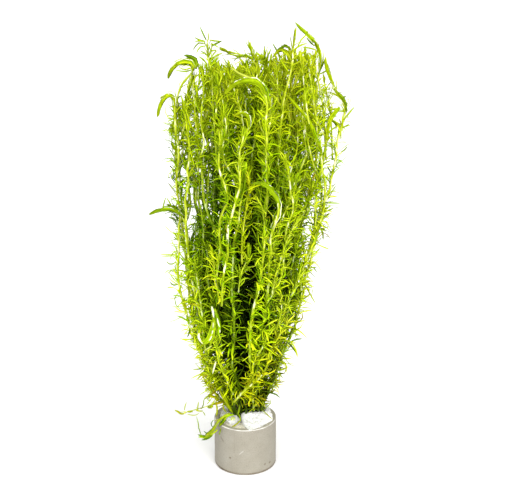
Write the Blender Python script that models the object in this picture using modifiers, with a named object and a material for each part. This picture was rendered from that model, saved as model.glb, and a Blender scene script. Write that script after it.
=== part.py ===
# Stream bogmoss in a small ceramic pot: a bunch of leafy water-plant shoots
# that stand in the pot and are wedged there with three wads of white wool.
#
# Units are metres, +Z is up.  The origin is the centre of the pot's underside.
# -Y is the front of the bunch and +X its right-hand side.
#
# Every shoot is one closed solid: the bare lower stem, and above it the
# envelope that its needle leaves fill, out to the leaf tips where the
# neighbouring shoots leave room for them.

import math

import bmesh
import bpy
import numpy as np

# ----------------------------------------------------------------- dimensions
POT_RADIUS = 0.0160          # outside
POT_HEIGHT = 0.0260
POT_WALL = 0.0026
POT_FLOOR = 0.0030
POT_RIM_ROUND = 0.0008       # rounding of the rim's edges
POT_FOOT_BEVEL = 0.0006      # small bevel round the foot
GAP = 0.0003                 # clearance between touching pieces

BUNDLE_CENTRE = (0.0007, 0.0022)   # stems in the pot's mouth
BUNDLE_RADIUS = 0.0080
STEM_RADIUS = 0.00080        # bare stem
LEAF_REACH = 0.0062          # stem axis to leaf tips
MIN_RADIUS = 0.00060

# height of the bunch -> radius of the circle that the stem axes fill
PROFILE_Z = (0.000, 0.026, 0.032, 0.045, 0.057, 0.082, 0.107, 0.132,
             0.158, 0.184, 0.204, 0.228)
PROFILE_R = (0.0082, 0.0082, 0.0110, 0.0165, 0.0215, 0.0275, 0.0310, 0.0345,
             0.0370, 0.0380, 0.0350, 0.0280)

# The front view from which the visible shoots are laid out: an eye a little
# above the bunch, looking slightly down along +Y.  A shoot is sketched by its
# track in that view, and each point is carried back to the depth of the layer
# that the shoot grows in (-1 is the front of the bunch, +1 its back).
EYE = np.array([0.004, -0.525, 0.304])
TILT = math.radians(19.4)
FOCAL = 1134.0
VIEW_U, VIEW_V = 253.0, 246.0
FORWARD = np.array([0.0, math.cos(TILT), -math.sin(TILT)])
UPWARD = np.array([0.0, math.sin(TILT), math.cos(TILT)])

# name, layer at the tip, layer at the low end, track from the tip downwards
SHOOTS = [
    ("shoot_tall_left", 0.15, -0.25,
     [(207, 39.6), (208.8, 62), (209.5, 90), (211, 109), (212, 129), (212, 151),
      (212.6, 166), (213, 200), (212, 250), (211.5, 300), (213, 330),
      (217, 356), (216, 375)]),
    ("shoot_left_high_crook", -0.05, 0.10,
     [(168, 79), (169.5, 72), (173, 65), (180, 61), (189, 60), (195.5, 63.4),
      (196, 69), (191, 75), (185, 81), (179.3, 92), (176.8, 110), (175, 140),
      (178, 165), (181, 200), (184, 240), (188, 280), (193, 320), (204, 360)]),
    ("shoot_left_low_crook", -0.30, -0.35,
     [(157.5, 117), (160, 104), (166, 95), (172.5, 92.5), (175.5, 98),
      (174.5, 107), (174, 118), (176, 134.5), (178, 144), (177.8, 159),
      (176.7, 173), (178, 188), (178.9, 199), (179, 234), (178, 255),
      (179, 276), (180.7, 290), (185, 308), (189, 322), (192.6, 336),
      (203, 358.6), (206, 371), (211, 385), (218.6, 396.5), (227, 406)]),
    ("shoot_left_long", -0.55, -0.50,
     [(182, 98.6), (183.3, 107), (187, 122), (189, 137), (189, 151),
      (188.8, 166), (188, 181), (185.8, 199), (186, 234), (188.4, 248),
      (189, 262), (194, 290), (199, 305), (201.7, 322), (203, 335),
      (206, 352), (211, 369), (220, 386)]),
    ("shoot_left_inner", -0.20, -0.55,
     [(198, 98.6), (197, 118), (196.5, 129), (197, 140), (199.4, 151),
      (201.6, 162), (202.3, 177), (203.8, 192), (206, 203), (210, 220),
      (215.8, 234), (218.6, 248), (220, 290), (218, 330), (218.6, 360),
      (222.8, 372.6), (229.8, 385), (231, 396.5)]),
    ("shoot_left_wavy", -0.45, -0.30,
     [(224, 103), (223.6, 107), (222, 122), (221.4, 144), (219.6, 155),
      (219.6, 166), (220, 173), (222.9, 182), (225, 189), (227.3, 195),
      (226.5, 203), (223.6, 210), (220, 223), (220, 241), (219, 251),
      (222, 285), (227, 320), (230, 350)]),
    ("shoot_centre_back_left", 0.20, 0.00,
     [(233, 104), (231.3, 116), (229.5, 133), (227.3, 151), (228, 185),
      (232, 230), (236, 280), (240, 330)]),
    ("shoot_centre_small_crook", -0.62, -0.40,
     [(233.5, 117), (236.5, 112.5), (243.8, 110), (250, 113.5), (250, 121),
      (245, 137), (240, 151), (239, 166), (239.4, 181), (237.5, 195),
      (232.6, 206), (229.8, 223), (227.7, 236), (227.7, 252), (224, 269),
      (223.5, 286), (227, 320), (232, 353), (235, 375)]),
    ("shoot_centre_front", -0.80, -0.70,
     [(244.5, 161), (242.4, 192), (239.6, 210), (236.8, 228.6), (233, 242),
      (233, 259), (232.6, 276), (232, 290), (233, 305), (234, 322),
      (234.7, 339), (233, 353), (233, 367), (238, 385), (244.6, 399)]),
    ("shoot_centre_yellow", -0.45, -0.30,
     [(248.7, 164), (249.4, 181), (248, 196), (245, 217), (243, 234),
      (244, 262), (243, 300), (243, 340)]),
    ("shoot_centre_big_crook", -0.70, -0.62,
     [(224.5, 94.6), (229.0, 88), (236, 82.6), (245, 79.6), (254, 79.2),
      (261, 82.4), (265.4, 89.6), (267, 99), (266.3, 111), (266, 124), (266.3, 148),
      (267.5, 160), (266.3, 176), (266.7, 204), (264, 228.6), (263.5, 248),
      (262.8, 269), (259.7, 287.5), (254, 305), (251.5, 322), (249.6, 336),
      (250, 350), (253, 367), (253, 382), (253, 399)]),
    ("shoot_centre_back_right", 0.30, 0.20,
     [(257.9, 104), (259, 118), (252, 146), (252, 180), (254, 220),
      (255, 260), (258, 300), (257, 340)]),
    ("shoot_top_crook", 0.35, 0.30,
     [(218.6, 46.7), (228, 51.5), (240, 54.5), (250, 57.5), (257, 64),
      (259.5, 73), (261, 95), (259, 130), (256, 170), (255, 220),
      (252, 270), (250, 320)]),
    ("shoot_top_centre", 0.55, 0.45,
     [(248.5, 40), (253, 55), (259.5, 70), (265, 95), (268.5, 130),
      (271, 170), (268, 220), (264, 270), (260, 320)]),
    ("shoot_right_long_bright", -0.28, -0.28,
     [(296, 27), (294, 39), (293.4, 47), (292.6, 59), (290, 75),
      (287.8, 85), (284.6, 94), (282, 105), (280.7, 128), (279.5, 136),
      (278.7, 148), (278.7, 164), (278.3, 174), (278, 190), (277, 215),
      (275, 250), (276, 290), (273, 322), (266, 344.5), (261, 366)]),
    ("shoot_top_right_crook", 0.05, 0.10,
     [(273, 57), (276.5, 51), (282, 47.5), (288, 48.5), (290.5, 55),
      (287, 67), (281.5, 83), (275.5, 97), (273, 125), (273, 165),
      (270, 220), (268, 280), (262, 330)]),
    ("shoot_right_tall", 0.10, -0.40,
     [(295, 22.2), (305.4, 31.5), (313.3, 38), (318, 45), (320.5, 52),
      (321.3, 60), (319.7, 71), (318, 84), (316, 110), (312.5, 135),
      (307, 155), (300.5, 168), (296.3, 180), (292.6, 191), (284.5, 213),
      (279.7, 228), (276, 245), (276.5, 265), (279, 284), (281, 300),
      (280, 316), (275, 336), (268, 360)]),
    ("shoot_right_front", -0.42, -0.38,
     [(286, 94), (291.8, 101), (300.6, 109.6), (307.8, 118), (313.3, 129.5),
      (318, 141.5), (322, 154), (323.3, 168), (324.5, 184), (324.5, 200),
      (321, 217), (315.4, 234), (311, 248), (304, 266.5), (301.5, 280),
      (301, 294), (300, 309), (295.7, 326), (288.7, 341), (281.7, 355),
      (277, 370), (271, 384), (266, 397)]),
    ("shoot_right_edge_arch", 0.05, -0.55,
     [(325, 57), (326, 67), (329.5, 76), (332.5, 85), (337, 94),
      (343, 99.5), (346, 106.5), (345.4, 112.5), (342.8, 118.5),
      (340, 126), (338.7, 135), (336.9, 145), (335.7, 156), (334.7, 165),
      (333, 173), (329.3, 188), (322, 215), (313, 250), (304, 280),
      (293, 302), (286, 316), (280, 332), (273.5, 346), (270.5, 357),
      (267, 368), (262, 379), (252, 389.5), (241, 398)]),
    ("shoot_right_edge_low", -0.25, -0.65,
     [(339.7, 107), (334, 114), (329.8, 124), (327.7, 134.5), (326, 148),
      (322, 170), (315, 188), (307.7, 201), (301, 216), (293, 231),
      (286, 246), (279, 263), (273, 290), (268, 320), (262, 350)]),
    ("shoot_front_crook", -1.00, -0.85,
     [(252, 184), (258, 181), (265.5, 183.5), (272, 189.5), (277, 197),
      (279, 205), (278.5, 213), (276, 222), (272.4, 234), (270.3, 248),
      (268.5, 264), (268.5, 282), (266, 310), (259, 345)]),
    ("shoot_left_side_crook", -0.35, -0.25,
     [(149, 214.5), (155, 211), (162.4, 209), (173, 208.5), (181.5, 213),
      (186, 223), (187.5, 237), (189, 262), (193, 290), (198, 318),
      (208, 350)]),
]

# Side shoot and the two loose shoots at the mouth: name, then (u, v, depth y)
LOOSE_SHOOTS = [
    ("side_shoot_left_hook",
     [(212.6, 307, -0.0245), (214.2, 321, -0.0240), (212, 332, -0.0235),
      (208.2, 340, -0.0230), (203.0, 342.8, -0.0225), (199.0, 339.5, -0.0218),
      (198.2, 333, -0.0210)]),
    ("drooping_shoot",
     [(201.8, 438.6, -0.0125), (205.7, 435.8, -0.0125), (209.8, 433.0, -0.0122),
      (213.6, 428.5, -0.0118), (217.0, 423.2, -0.0112), (221.0, 418.6, -0.0104),
      (225.4, 415.2, -0.0094), (229.6, 413.0, -0.0084)]),
    ("trailing_runner",
     [(173.6, 409.8, -0.0060), (179.7, 412.3, -0.0060), (186.8, 411.8, -0.0058),
      (193.0, 410.6, -0.0056), (199.0, 408.8, -0.0054), (205.0, 407.0, -0.0052),
      (211.0, 404.6, -0.0050), (216.2, 402.6, -0.0046), (220.2, 402.2, -0.0040)]),
]

# Shoots behind the visible ones: name, top as (x, y, z), crook size and
# direction in degrees (0 for an erect tip), sway
BACK_SHOOTS = [
    ("shoot_back_centre", (0.004, 0.0360, 0.205), 0.0065, 60, 0.0022),
    ("shoot_back_left", (-0.011, 0.0300, 0.198), 0.0060, 140, 0.0030),
    ("shoot_back_right", (0.019, 0.0310, 0.203), 0.0060, 20, 0.0026),
    ("shoot_back_far_right", (0.032, 0.0230, 0.196), 0.0, 0, 0.0024),
    ("shoot_back_far_left", (-0.026, 0.0235, 0.176), 0.0055, 170, 0.0020),
    ("shoot_back_low_left", (-0.017, 0.0340, 0.184), 0.0, 0, 0.0026),
    ("shoot_back_low_right", (0.012, 0.0375, 0.186), 0.0060, 95, 0.0022),
    ("shoot_back_side_right", (0.036, 0.0120, 0.180), 0.0055, -20, 0.0024),
    ("shoot_inner_tall", (0.009, 0.0200, 0.212), 0.0, 0, 0.0020),
    ("shoot_inner_left", (-0.006, 0.0140, 0.196), 0.0055, 120, 0.0020),
    ("shoot_inner_right", (0.022, 0.0100, 0.196), 0.0, 0, 0.0022),
]

SPACING = 0.0030             # distance between the points of a finished axis
SOLID_TOLERANCE = 0.00056    # how closely a solid's straight pieces follow it


# ------------------------------------------------------------ shoot axes
def bunch_radius(z):
    return np.interp(z, PROFILE_Z, PROFILE_R)


def from_view(u, v, y):
    ray = FORWARD + np.array([1.0, 0, 0]) * (u - VIEW_U) / FOCAL \
        - UPWARD * (v - VIEW_V) / FOCAL
    return EYE + ray * (y - EYE[1]) / ray[1]


def layer_point(u, v, layer):
    y = 0.0
    for _ in range(12):
        p = from_view(u, v, y)
        r = bunch_radius(p[2])
        across = max(r * r - p[0] ** 2, (0.42 * r) ** 2)
        y = 0.5 * y + 0.5 * layer * math.sqrt(across)
    return from_view(u, v, y)


def smooth_through(points, step):
    """Centripetal Catmull-Rom curve through points, at an even spacing."""
    pts = [np.asarray(p, float) for p in points]
    pts = [2 * pts[0] - pts[1]] + pts + [2 * pts[-1] - pts[-2]]
    dense = []
    for k in range(1, len(pts) - 2):
        p0, p1, p2, p3 = pts[k - 1:k + 3]
        t0 = 0.0
        t1 = t0 + max(np.linalg.norm(p1 - p0), 1e-6) ** 0.5
        t2 = t1 + max(np.linalg.norm(p2 - p1), 1e-6) ** 0.5
        t3 = t2 + max(np.linalg.norm(p3 - p2), 1e-6) ** 0.5
        n = max(4, int(np.linalg.norm(p2 - p1) / 0.0006))
        for t in np.linspace(t1, t2, n, endpoint=False):
            a1 = (t1 - t) / (t1 - t0) * p0 + (t - t0) / (t1 - t0) * p1
            a2 = (t2 - t) / (t2 - t1) * p1 + (t - t1) / (t2 - t1) * p2
            a3 = (t3 - t) / (t3 - t2) * p2 + (t - t2) / (t3 - t2) * p3
            b1 = (t2 - t) / (t2 - t0) * a1 + (t - t0) / (t2 - t0) * a2
            b2 = (t3 - t) / (t3 - t1) * a2 + (t - t1) / (t3 - t1) * a3
            dense.append((t2 - t) / (t2 - t1) * b1 + (t - t1) / (t2 - t1) * b2)
    dense.append(pts[-2])
    return resample(np.array(dense), step)


def resample(line, step):
    seg = np.linalg.norm(np.diff(line, axis=0), axis=1)
    s = np.concatenate([[0.0], np.cumsum(seg)])
    n = max(3, int(round(s[-1] / step)) + 1)
    t = np.linspace(0.0, s[-1], n)
    return np.stack([np.interp(t, s, line[:, k]) for k in range(3)], axis=1)


def even_out(values, passes):
    """Binomial smoothing along an axis, ends kept."""
    v = values.copy()
    for _ in range(passes):
        v[1:-1] = 0.25 * v[:-2] + 0.5 * v[1:-1] + 0.25 * v[2:]
    return v


def mouth_slots(count):
    """Places of the stems in the mouth: a sunflower pattern in a disc."""
    k = np.arange(count) + 0.5
    r = BUNDLE_RADIUS * np.sqrt(k / count)
    a = k * math.pi * (3.0 - math.sqrt(5.0))
    return np.stack([BUNDLE_CENTRE[0] + r * np.cos(a),
                     BUNDLE_CENTRE[1] + r * np.sin(a)], axis=1)


def assign_slots(wanted, slots):
    """Give each stem the slot that keeps the total shift least."""
    cost = ((wanted[:, None, :] - slots[None, :, :]) ** 2).sum(axis=2)
    pick = list(range(len(wanted)))
    for _ in range(60):
        changed = False
        for i in range(len(pick)):
            for j in range(i + 1, len(pick)):
                now = cost[i, pick[i]] + cost[j, pick[j]]
                new = cost[i, pick[j]] + cost[j, pick[i]]
                if new < now - 1e-12:
                    pick[i], pick[j] = pick[j], pick[i]
                    changed = True
        if not changed:
            break
    return slots[pick]


def back_track(top, crook, heading, sway, phase):
    """Upper track of a back shoot, from the tip downwards."""
    x, y, z = top
    pts = []
    if crook > 0.0:
        h = math.radians(heading)
        out = np.array([math.cos(h), math.sin(h), 0.0])
        centre = np.array([x, y, z - crook]) + out * crook
        for deg in (205, 170, 135, 100, 65, 30, 0):
            a = math.radians(deg)
            pts.append(centre - out * crook * math.cos(a)
                       + np.array([0, 0, crook * 1.15 * math.sin(a)]))
    else:
        pts.append(np.array([x, y, z]))
    start = pts[-1][2]
    for k in range(1, 9):
        zz = start - (start - 0.060) * k / 8.0
        f = (bunch_radius(zz) - 0.0040) / (bunch_radius(start) - 0.0040)
        w = sway * math.sin(phase + 5.2 * k / 8.0)
        w2 = sway * math.cos(1.7 * phase + 4.1 * k / 8.0)
        pts.append(np.array([pts[0][0] * 0 + x * f + w, y * f + w2, zz]))
    return pts


def shoot_axes():
    """All shoots' axes, base first, and which of them start in the mouth."""
    tracks, names = [], []
    for name, tip_layer, low_layer, track in SHOOTS:
        n = len(track)
        pts = []
        for k, (u, v) in enumerate(track):
            f = k / (n - 1.0)
            pts.append(layer_point(u, v, tip_layer + (low_layer - tip_layer) * f))
        tracks.append(pts)
        names.append(name)
    for k, (name, top, crook, heading, sway) in enumerate(BACK_SHOOTS):
        tracks.append(back_track(top, crook, heading, sway, 1.3 + 2.4 * k))
        names.append(name)

    centre = np.array(BUNDLE_CENTRE)
    wanted = []
    for pts in tracks:
        low = pts[-1]
        f = BUNDLE_RADIUS / max(bunch_radius(low[2]), BUNDLE_RADIUS)
        wanted.append(centre + (low[:2] - centre * 0.5) * f)
    slots = assign_slots(np.array(wanted), mouth_slots(len(tracks)))

    axes = []
    base_r = bunch_radius(POT_HEIGHT)
    for pts, slot in zip(tracks, slots):
        low = pts[-1]
        path = [np.array([slot[0], slot[1], POT_FLOOR + 0.0006]),
                np.array([slot[0], slot[1], 0.012]),
                np.array([slot[0], slot[1], 0.021]),
                np.array([slot[0], slot[1], 0.0275])]
        z = 0.040
        while z < low[2] - 0.010:
            f = (bunch_radius(z) - base_r) / (bunch_radius(low[2]) - base_r)
            path.append(np.array([slot[0] + (low[0] - slot[0]) * f,
                                  slot[1] + (low[1] - slot[1]) * f, z]))
            z += 0.014
        path += list(reversed(pts))
        axes.append(even_out(smooth_through(path, SPACING), 1))
    loose = []
    for name, track in LOOSE_SHOOTS:
        pts = [from_view(u, v, y) for u, v, y in reversed(track)]
        loose.append(smooth_through(pts, SPACING * 0.6))
    spread(axes, loose)
    return names + [n for n, _ in LOOSE_SHOOTS], axes + loose, len(axes)


def stem_room(z):
    """Least distance wanted between two stem axes at height z."""
    return np.interp(z, (0.026, 0.034, 0.060, 0.100, 0.230),
                     (0.0020, 0.0023, 0.0032, 0.0046, 0.0052))


def close_pairs(pts, owner, free, reach):
    """Pairs of points of different shoots that lie within reach."""
    first, second = [], []
    by_height = np.argsort(pts[:, 2], kind="stable")
    z = pts[by_height, 2]
    for i in range(free):
        lo, hi = np.searchsorted(z, (pts[i, 2] - reach, pts[i, 2] + reach))
        near = by_height[lo:hi]
        near = near[(owner[near] != owner[i])
                    & (((pts[near] - pts[i]) ** 2).sum(axis=1) < reach * reach)]
        first.append(np.full(len(near), i))
        second.append(near)
    return np.concatenate(first), np.concatenate(second)


def spread(axes, fixed):
    """Move shoots apart along the line of sight, so that none passes
    through another and the front view keeps its drawing."""
    owner = np.concatenate([np.full(len(a), k) for k, a in enumerate(axes)]
                           + [np.full(len(a), len(axes) + k)
                              for k, a in enumerate(fixed)])
    start = np.cumsum([0] + [len(a) for a in axes])
    free = start[-1]
    for turn in range(90):
        pts = np.concatenate(list(axes) + list(fixed))
        if turn % 10 == 0:
            first, second = close_pairs(pts, owner, free, 0.013)
            order = np.where(owner[first] > owner[second], 1.0, -1.0)
            pair = owner[first] * (owner.max() + 1) + owner[second]
        sight = pts - EYE
        sight /= np.linalg.norm(sight, axis=1)[:, None]
        delta = pts[first] - pts[second]
        along = (delta * sight[first]).sum(axis=1)
        side2 = (delta ** 2).sum(axis=1) - along ** 2
        room = stem_room(0.5 * (pts[first, 2] + pts[second, 2]))
        short = np.sqrt(np.maximum(room ** 2 - side2, 0.0)) - np.abs(along)
        np.maximum(short, 0.0, out=short)
        # one shoot of a pair passes in front of the other all the way
        whole = np.bincount(pair, along * (short > 0))[pair]
        low = np.minimum(pts[first, 2], pts[second, 2]) < 0.045
        sign = np.sign(np.where(low, along, whole))
        sign = np.where(sign == 0.0, order, sign)
        move = np.bincount(first, short * sign, minlength=len(pts))
        count = np.bincount(first, short > 0, minlength=len(pts))
        move = np.clip(move / np.maximum(count, 1.0), -0.0012, 0.0012)
        for k in range(len(axes)):
            part = move[start[k]:start[k + 1]].copy()
            z = axes[k][:, 2]
            part = even_out(np.concatenate([[0.0], part, [part[-1]]]), 2)[1:-1]
            part *= np.clip((z - 0.027) / 0.008, 0.0, 1.0)
            axes[k] = axes[k] + 0.9 * part[:, None] * sight[start[k]:start[k + 1]]
    for k in range(len(axes)):
        z = axes[k][:, 2]
        fade = np.clip((z - 0.024) / 0.010, 0.0, 1.0)[:, None]
        axes[k] = axes[k] * (1 - fade) + even_out(axes[k], 1) * fade


# ------------------------------------------------------------ shoot solids
def simplify(line, tolerance):
    """Points of a line that keep it within the tolerance of its shape."""
    keep = {0, len(line) - 1}
    stack = [(0, len(line) - 1)]
    while stack:
        a, b = stack.pop()
        if b - a < 2:
            continue
        p, q = line[a], line[b]
        d = q - p
        t = np.clip(((line[a:b + 1] - p) @ d) / max(d @ d, 1e-12), 0, 1)
        off = np.linalg.norm(line[a:b + 1] - (p + t[:, None] * d), axis=1)
        k = int(off.argmax())
        if off[k] > tolerance:
            keep.add(a + k)
            stack += [(a, a + k), (a + k, b)]
    idx = sorted(keep)
    out = []
    for a, b in zip(idx[:-1], idx[1:]):      # no piece longer than 24 mm
        length = np.linalg.norm(line[b] - line[a])
        n = max(1, int(math.ceil(length / 0.024)))
        out += [int(round(a + (b - a) * j / n)) for j in range(n)]
    return line[out + [idx[-1]]]


def wanted_radius(line, loose):
    """Leaf reach along a shoot: bare in the pot, full above, round tip."""
    seg = np.linalg.norm(np.diff(line, axis=0), axis=1)
    s = np.concatenate([[0.0], np.cumsum(seg)])
    left = s[-1] - s
    if loose:
        r = np.interp(s, (0.0, 0.006, 0.012), (STEM_RADIUS, 0.0018, 0.0034))
    else:
        r = np.interp(line[:, 2], (0.0, 0.029, 0.040, 0.060),
                      (STEM_RADIUS, STEM_RADIUS, 0.0030, LEAF_REACH))
    r = np.minimum(r, LEAF_REACH)
    return np.minimum(r, np.interp(left, (0.0, 0.002, 0.006, 0.012),
                                   (0.0010, 0.0024, 0.0040, LEAF_REACH)))


def shoot_radii(lines, n_mouth):
    """Radius at each point: the leaf reach, cut back where another shoot,
    the same shoot's own bend or the pot's rim stands in the way."""
    radii = [wanted_radius(l, k >= n_mouth) for k, l in enumerate(lines)]
    fine, fine_owner, fine_seg, fine_t = [], [], [], []
    for k, line in enumerate(lines):
        for j in range(len(line) - 1):
            n = max(2, int(np.linalg.norm(line[j + 1] - line[j]) / 0.0015))
            for t in (np.arange(n) + 0.5) / n:
                fine.append(line[j] * (1 - t) + line[j + 1] * t)
                fine_owner.append(k)
                fine_seg.append(j)
                fine_t.append(t)
        for j in (0, len(line) - 1):
            fine.append(line[j])
            fine_owner.append(k)
            fine_seg.append(min(j, len(line) - 2))
            fine_t.append(0.0 if j == 0 else 1.0)
    fine = np.array(fine)
    own = np.array(fine_owner)
    seg = np.array(fine_seg)
    tt = np.array(fine_t)
    first = np.cumsum([0] + [len(l) for l in lines])
    idx = first[own] + seg
    flat = np.concatenate(radii)
    near = np.stack(close_pairs(fine, own, len(fine),
                                2 * LEAF_REACH + GAP + 0.001), axis=1)
    gap_d = np.linalg.norm(fine[near[:, 0]] - fine[near[:, 1]], axis=1)
    for _ in range(40):
        r = flat[idx] * (1 - tt) + flat[idx + 1] * tt
        total = r[near[:, 0]] + r[near[:, 1]]
        room = (gap_d - GAP - 0.0003) / np.maximum(total, 1e-9)
        bad = room < 1.0
        if not bad.any():
            break
        shrink = np.ones(len(fine))
        np.minimum.at(shrink, near[bad, 0], room[bad])
        factor = np.ones(len(flat))
        np.minimum.at(factor, idx, shrink)
        np.minimum.at(factor, idx + 1, shrink)
        flat = np.maximum(flat * factor, MIN_RADIUS)
    # tight bends and loops: the tube stays slimmer than its own turn
    for k, line in enumerate(lines):
        r = flat[first[k]:first[k + 1]]
        n = len(line)
        for j in range(1, n - 1):
            a, b = line[j] - line[j - 1], line[j + 1] - line[j]
            la, lb = np.linalg.norm(a), np.linalg.norm(b)
            turn = math.acos(max(-1.0, min(1.0, float(a @ b) / (la * lb))))
            if turn > 0.05:
                r[j] = min(r[j], 0.42 * min(la, lb) / math.tan(turn / 2.0))
        for j in range(n):
            for m in range(j + 2, n):
                arc = sum(np.linalg.norm(line[q + 1] - line[q]) for q in range(j, m))
                d = np.linalg.norm(line[m] - line[j])
                if arc > 1.9 * d:
                    cap = max(0.46 * d - 0.0003, MIN_RADIUS)
                    r[j], r[m] = min(r[j], cap), min(r[m], cap)
        flat[first[k]:first[k + 1]] = np.maximum(r, MIN_RADIUS)
    # clear of the pot and of the wool in its mouth
    for k, line in enumerate(lines):
        for j, p in enumerate(line):
            q = first[k] + j
            rho = math.hypot(p[0], p[1])
            if k >= n_mouth and p[2] < 0.045:
                over = math.hypot(max(rho - POT_RADIUS, 0.0) if rho > POT_RADIUS
                                  else 0.0, max(p[2] - POT_HEIGHT, 0.0))
                flat[q] = min(flat[q], max(over - 0.0006, MIN_RADIUS))
    return [flat[first[k]:first[k + 1]] for k in range(len(lines))]


# ------------------------------------------------------------ Blender objects
def clear_scene():
    for obj in list(bpy.data.objects):
        bpy.data.objects.remove(obj, do_unlink=True)


def material(name, colour, roughness):
    mat = bpy.data.materials.new(name)
    mat.use_nodes = True
    shader = mat.node_tree.nodes["Principled BSDF"]
    shader.inputs["Base Color"].default_value = (*colour, 1.0)
    shader.inputs["Roughness"].default_value = roughness
    shader.inputs["Metallic"].default_value = 0.0
    mat.diffuse_color = (*colour, 1.0)
    return mat


def make_pot(collection):
    """The pot: a turned profile with a rounded rim and a bevelled foot."""
    ro, ri = POT_RADIUS, POT_RADIUS - POT_WALL
    h, c, b = POT_HEIGHT, POT_RIM_ROUND, POT_FOOT_BEVEL
    profile = [(0.0, POT_FLOOR), (ri - 0.0008, POT_FLOOR), (ri, POT_FLOOR + 0.0008)]
    for deg in (0, 45, 90):                  # inner edge of the rim
        a = math.radians(deg)
        profile.append((ri + c * (1 - math.cos(a)), h - c + c * math.sin(a)))
    for deg in (90, 45, 0):                  # outer edge of the rim
        a = math.radians(deg)
        profile.append((ro - c + c * math.cos(a), h - c + c * math.sin(a)))
    profile += [(ro, b), (ro - b, 0.0), (0.0, 0.0)]
    mesh = bpy.data.meshes.new("pot")
    bm = bmesh.new()
    verts = [bm.verts.new((r, 0.0, z)) for r, z in profile]
    for a, b2 in zip(verts[:-1], verts[1:]):
        bm.edges.new((a, b2))
    bm.to_mesh(mesh)
    bm.free()
    obj = bpy.data.objects.new("pot", mesh)
    collection.objects.link(obj)
    screw = obj.modifiers.new("turn", "SCREW")
    screw.axis = "Z"
    screw.angle = math.radians(360)
    screw.steps = 40
    screw.render_steps = 40
    screw.use_merge_vertices = True
    screw.merge_threshold = 0.00001
    screw.use_normal_calculate = True
    obj.data.materials.append(material("sintered_ceramic", (0.55, 0.52, 0.45), 0.85))
    return obj


def make_wad(collection, name, angles, top, bottom, lean):
    """A wad of wool between the stems and the pot's wall: a rounded block
    bent round the bundle, its top a little domed above the rim."""
    mesh = bpy.data.meshes.new(name)
    bm = bmesh.new()
    bmesh.ops.create_uvsphere(bm, u_segments=14, v_segments=8, radius=1.0)
    a0, a1 = (math.radians(a) for a in angles)
    cx, cy = BUNDLE_CENTRE
    outer = POT_RADIUS - POT_WALL - GAP - 0.0001
    for v in bm.verts:
        p = [math.copysign(abs(c) ** 0.55, c) for c in v.co]
        a = 0.5 * (a0 + a1) + 0.5 * (a1 - a0) * p[0]
        ca, sa = math.cos(a), math.sin(a)
        along = cx * ca + cy * sa            # bundle's edge in this direction
        reach = BUNDLE_RADIUS + STEM_RADIUS + GAP + 0.0004
        inner = along + math.sqrt(max(reach ** 2 - (cx ** 2 + cy ** 2 - along ** 2),
                                      1e-9))
        inner = min(inner, outer - 0.0012)
        rad = 0.5 * (inner + outer) + 0.5 * (outer - inner) * p[1]
        z = 0.5 * (bottom + top) + 0.5 * (top - bottom) * p[2]
        if z > POT_HEIGHT - 0.002:           # dome over the mouth
            rad += lean * (z - POT_HEIGHT + 0.002) / (top - POT_HEIGHT + 0.002)
        v.co = (rad * ca, rad * sa, z)
    if bm.calc_volume(signed=True) < 0.0:
        bmesh.ops.reverse_faces(bm, faces=bm.faces)
    bm.to_mesh(mesh)
    bm.free()
    for poly in mesh.polygons:
        poly.use_smooth = True
    obj = bpy.data.objects.new(name, mesh)
    collection.objects.link(obj)
    tri = obj.modifiers.new("triangles", "TRIANGULATE")
    tri.min_vertices = 4
    obj.data.materials.append(material("wool_" + name, (0.88, 0.88, 0.84), 1.0))
    return obj


def make_shoot(collection, name, line, radii, colour):
    """A shoot: a round tube along its axis, as wide as the leaves reach."""
    curve = bpy.data.curves.new(name, "CURVE")
    curve.dimensions = "3D"
    curve.bevel_depth = 1.0
    curve.bevel_resolution = 2
    curve.use_fill_caps = True
    curve.twist_mode = "MINIMUM"
    spline = curve.splines.new("POLY")
    spline.points.add(len(line) - 1)
    for point, p, r in zip(spline.points, line, radii):
        point.co = (p[0], p[1], p[2], 1.0)
        point.radius = r
    obj = bpy.data.objects.new(name, curve)
    collection.objects.link(obj)
    curve.materials.append(material(name, colour, 0.45))
    return obj


def main():
    clear_scene()
    collection = bpy.data.collections.new("potted_stream_bogmoss")
    bpy.context.scene.collection.children.link(collection)
    make_pot(collection)
    make_wad(collection, "wool_wad_front_right", (-92, -14), 0.0290, 0.0075, 0.0)
    make_wad(collection, "wool_wad_front_left", (-168, -97), 0.0280, 0.0090, 0.0)
    make_wad(collection, "wool_wad_back", (2, 158), 0.0285, 0.0080, 0.0)
    names, axes, n_mouth = shoot_axes()
    lines = [simplify(a, SOLID_TOLERANCE) for a in axes]
    radii = shoot_radii(lines, n_mouth)
    for k, (name, line, rad) in enumerate(zip(names, lines, radii)):
        f = (k * 0.618) % 1.0
        colour = (0.22 + 0.20 * f, 0.42 + 0.10 * f, 0.03)
        make_shoot(collection, name, line, rad, colour)


main()
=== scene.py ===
# Looks of the potted stream bogmoss: needle-leaved shoots grown along the same
# axes as the solids, a sintered ceramic pot, and fibrous white wool.
import math

import bpy
import numpy as np
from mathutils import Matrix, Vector, noise


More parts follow.
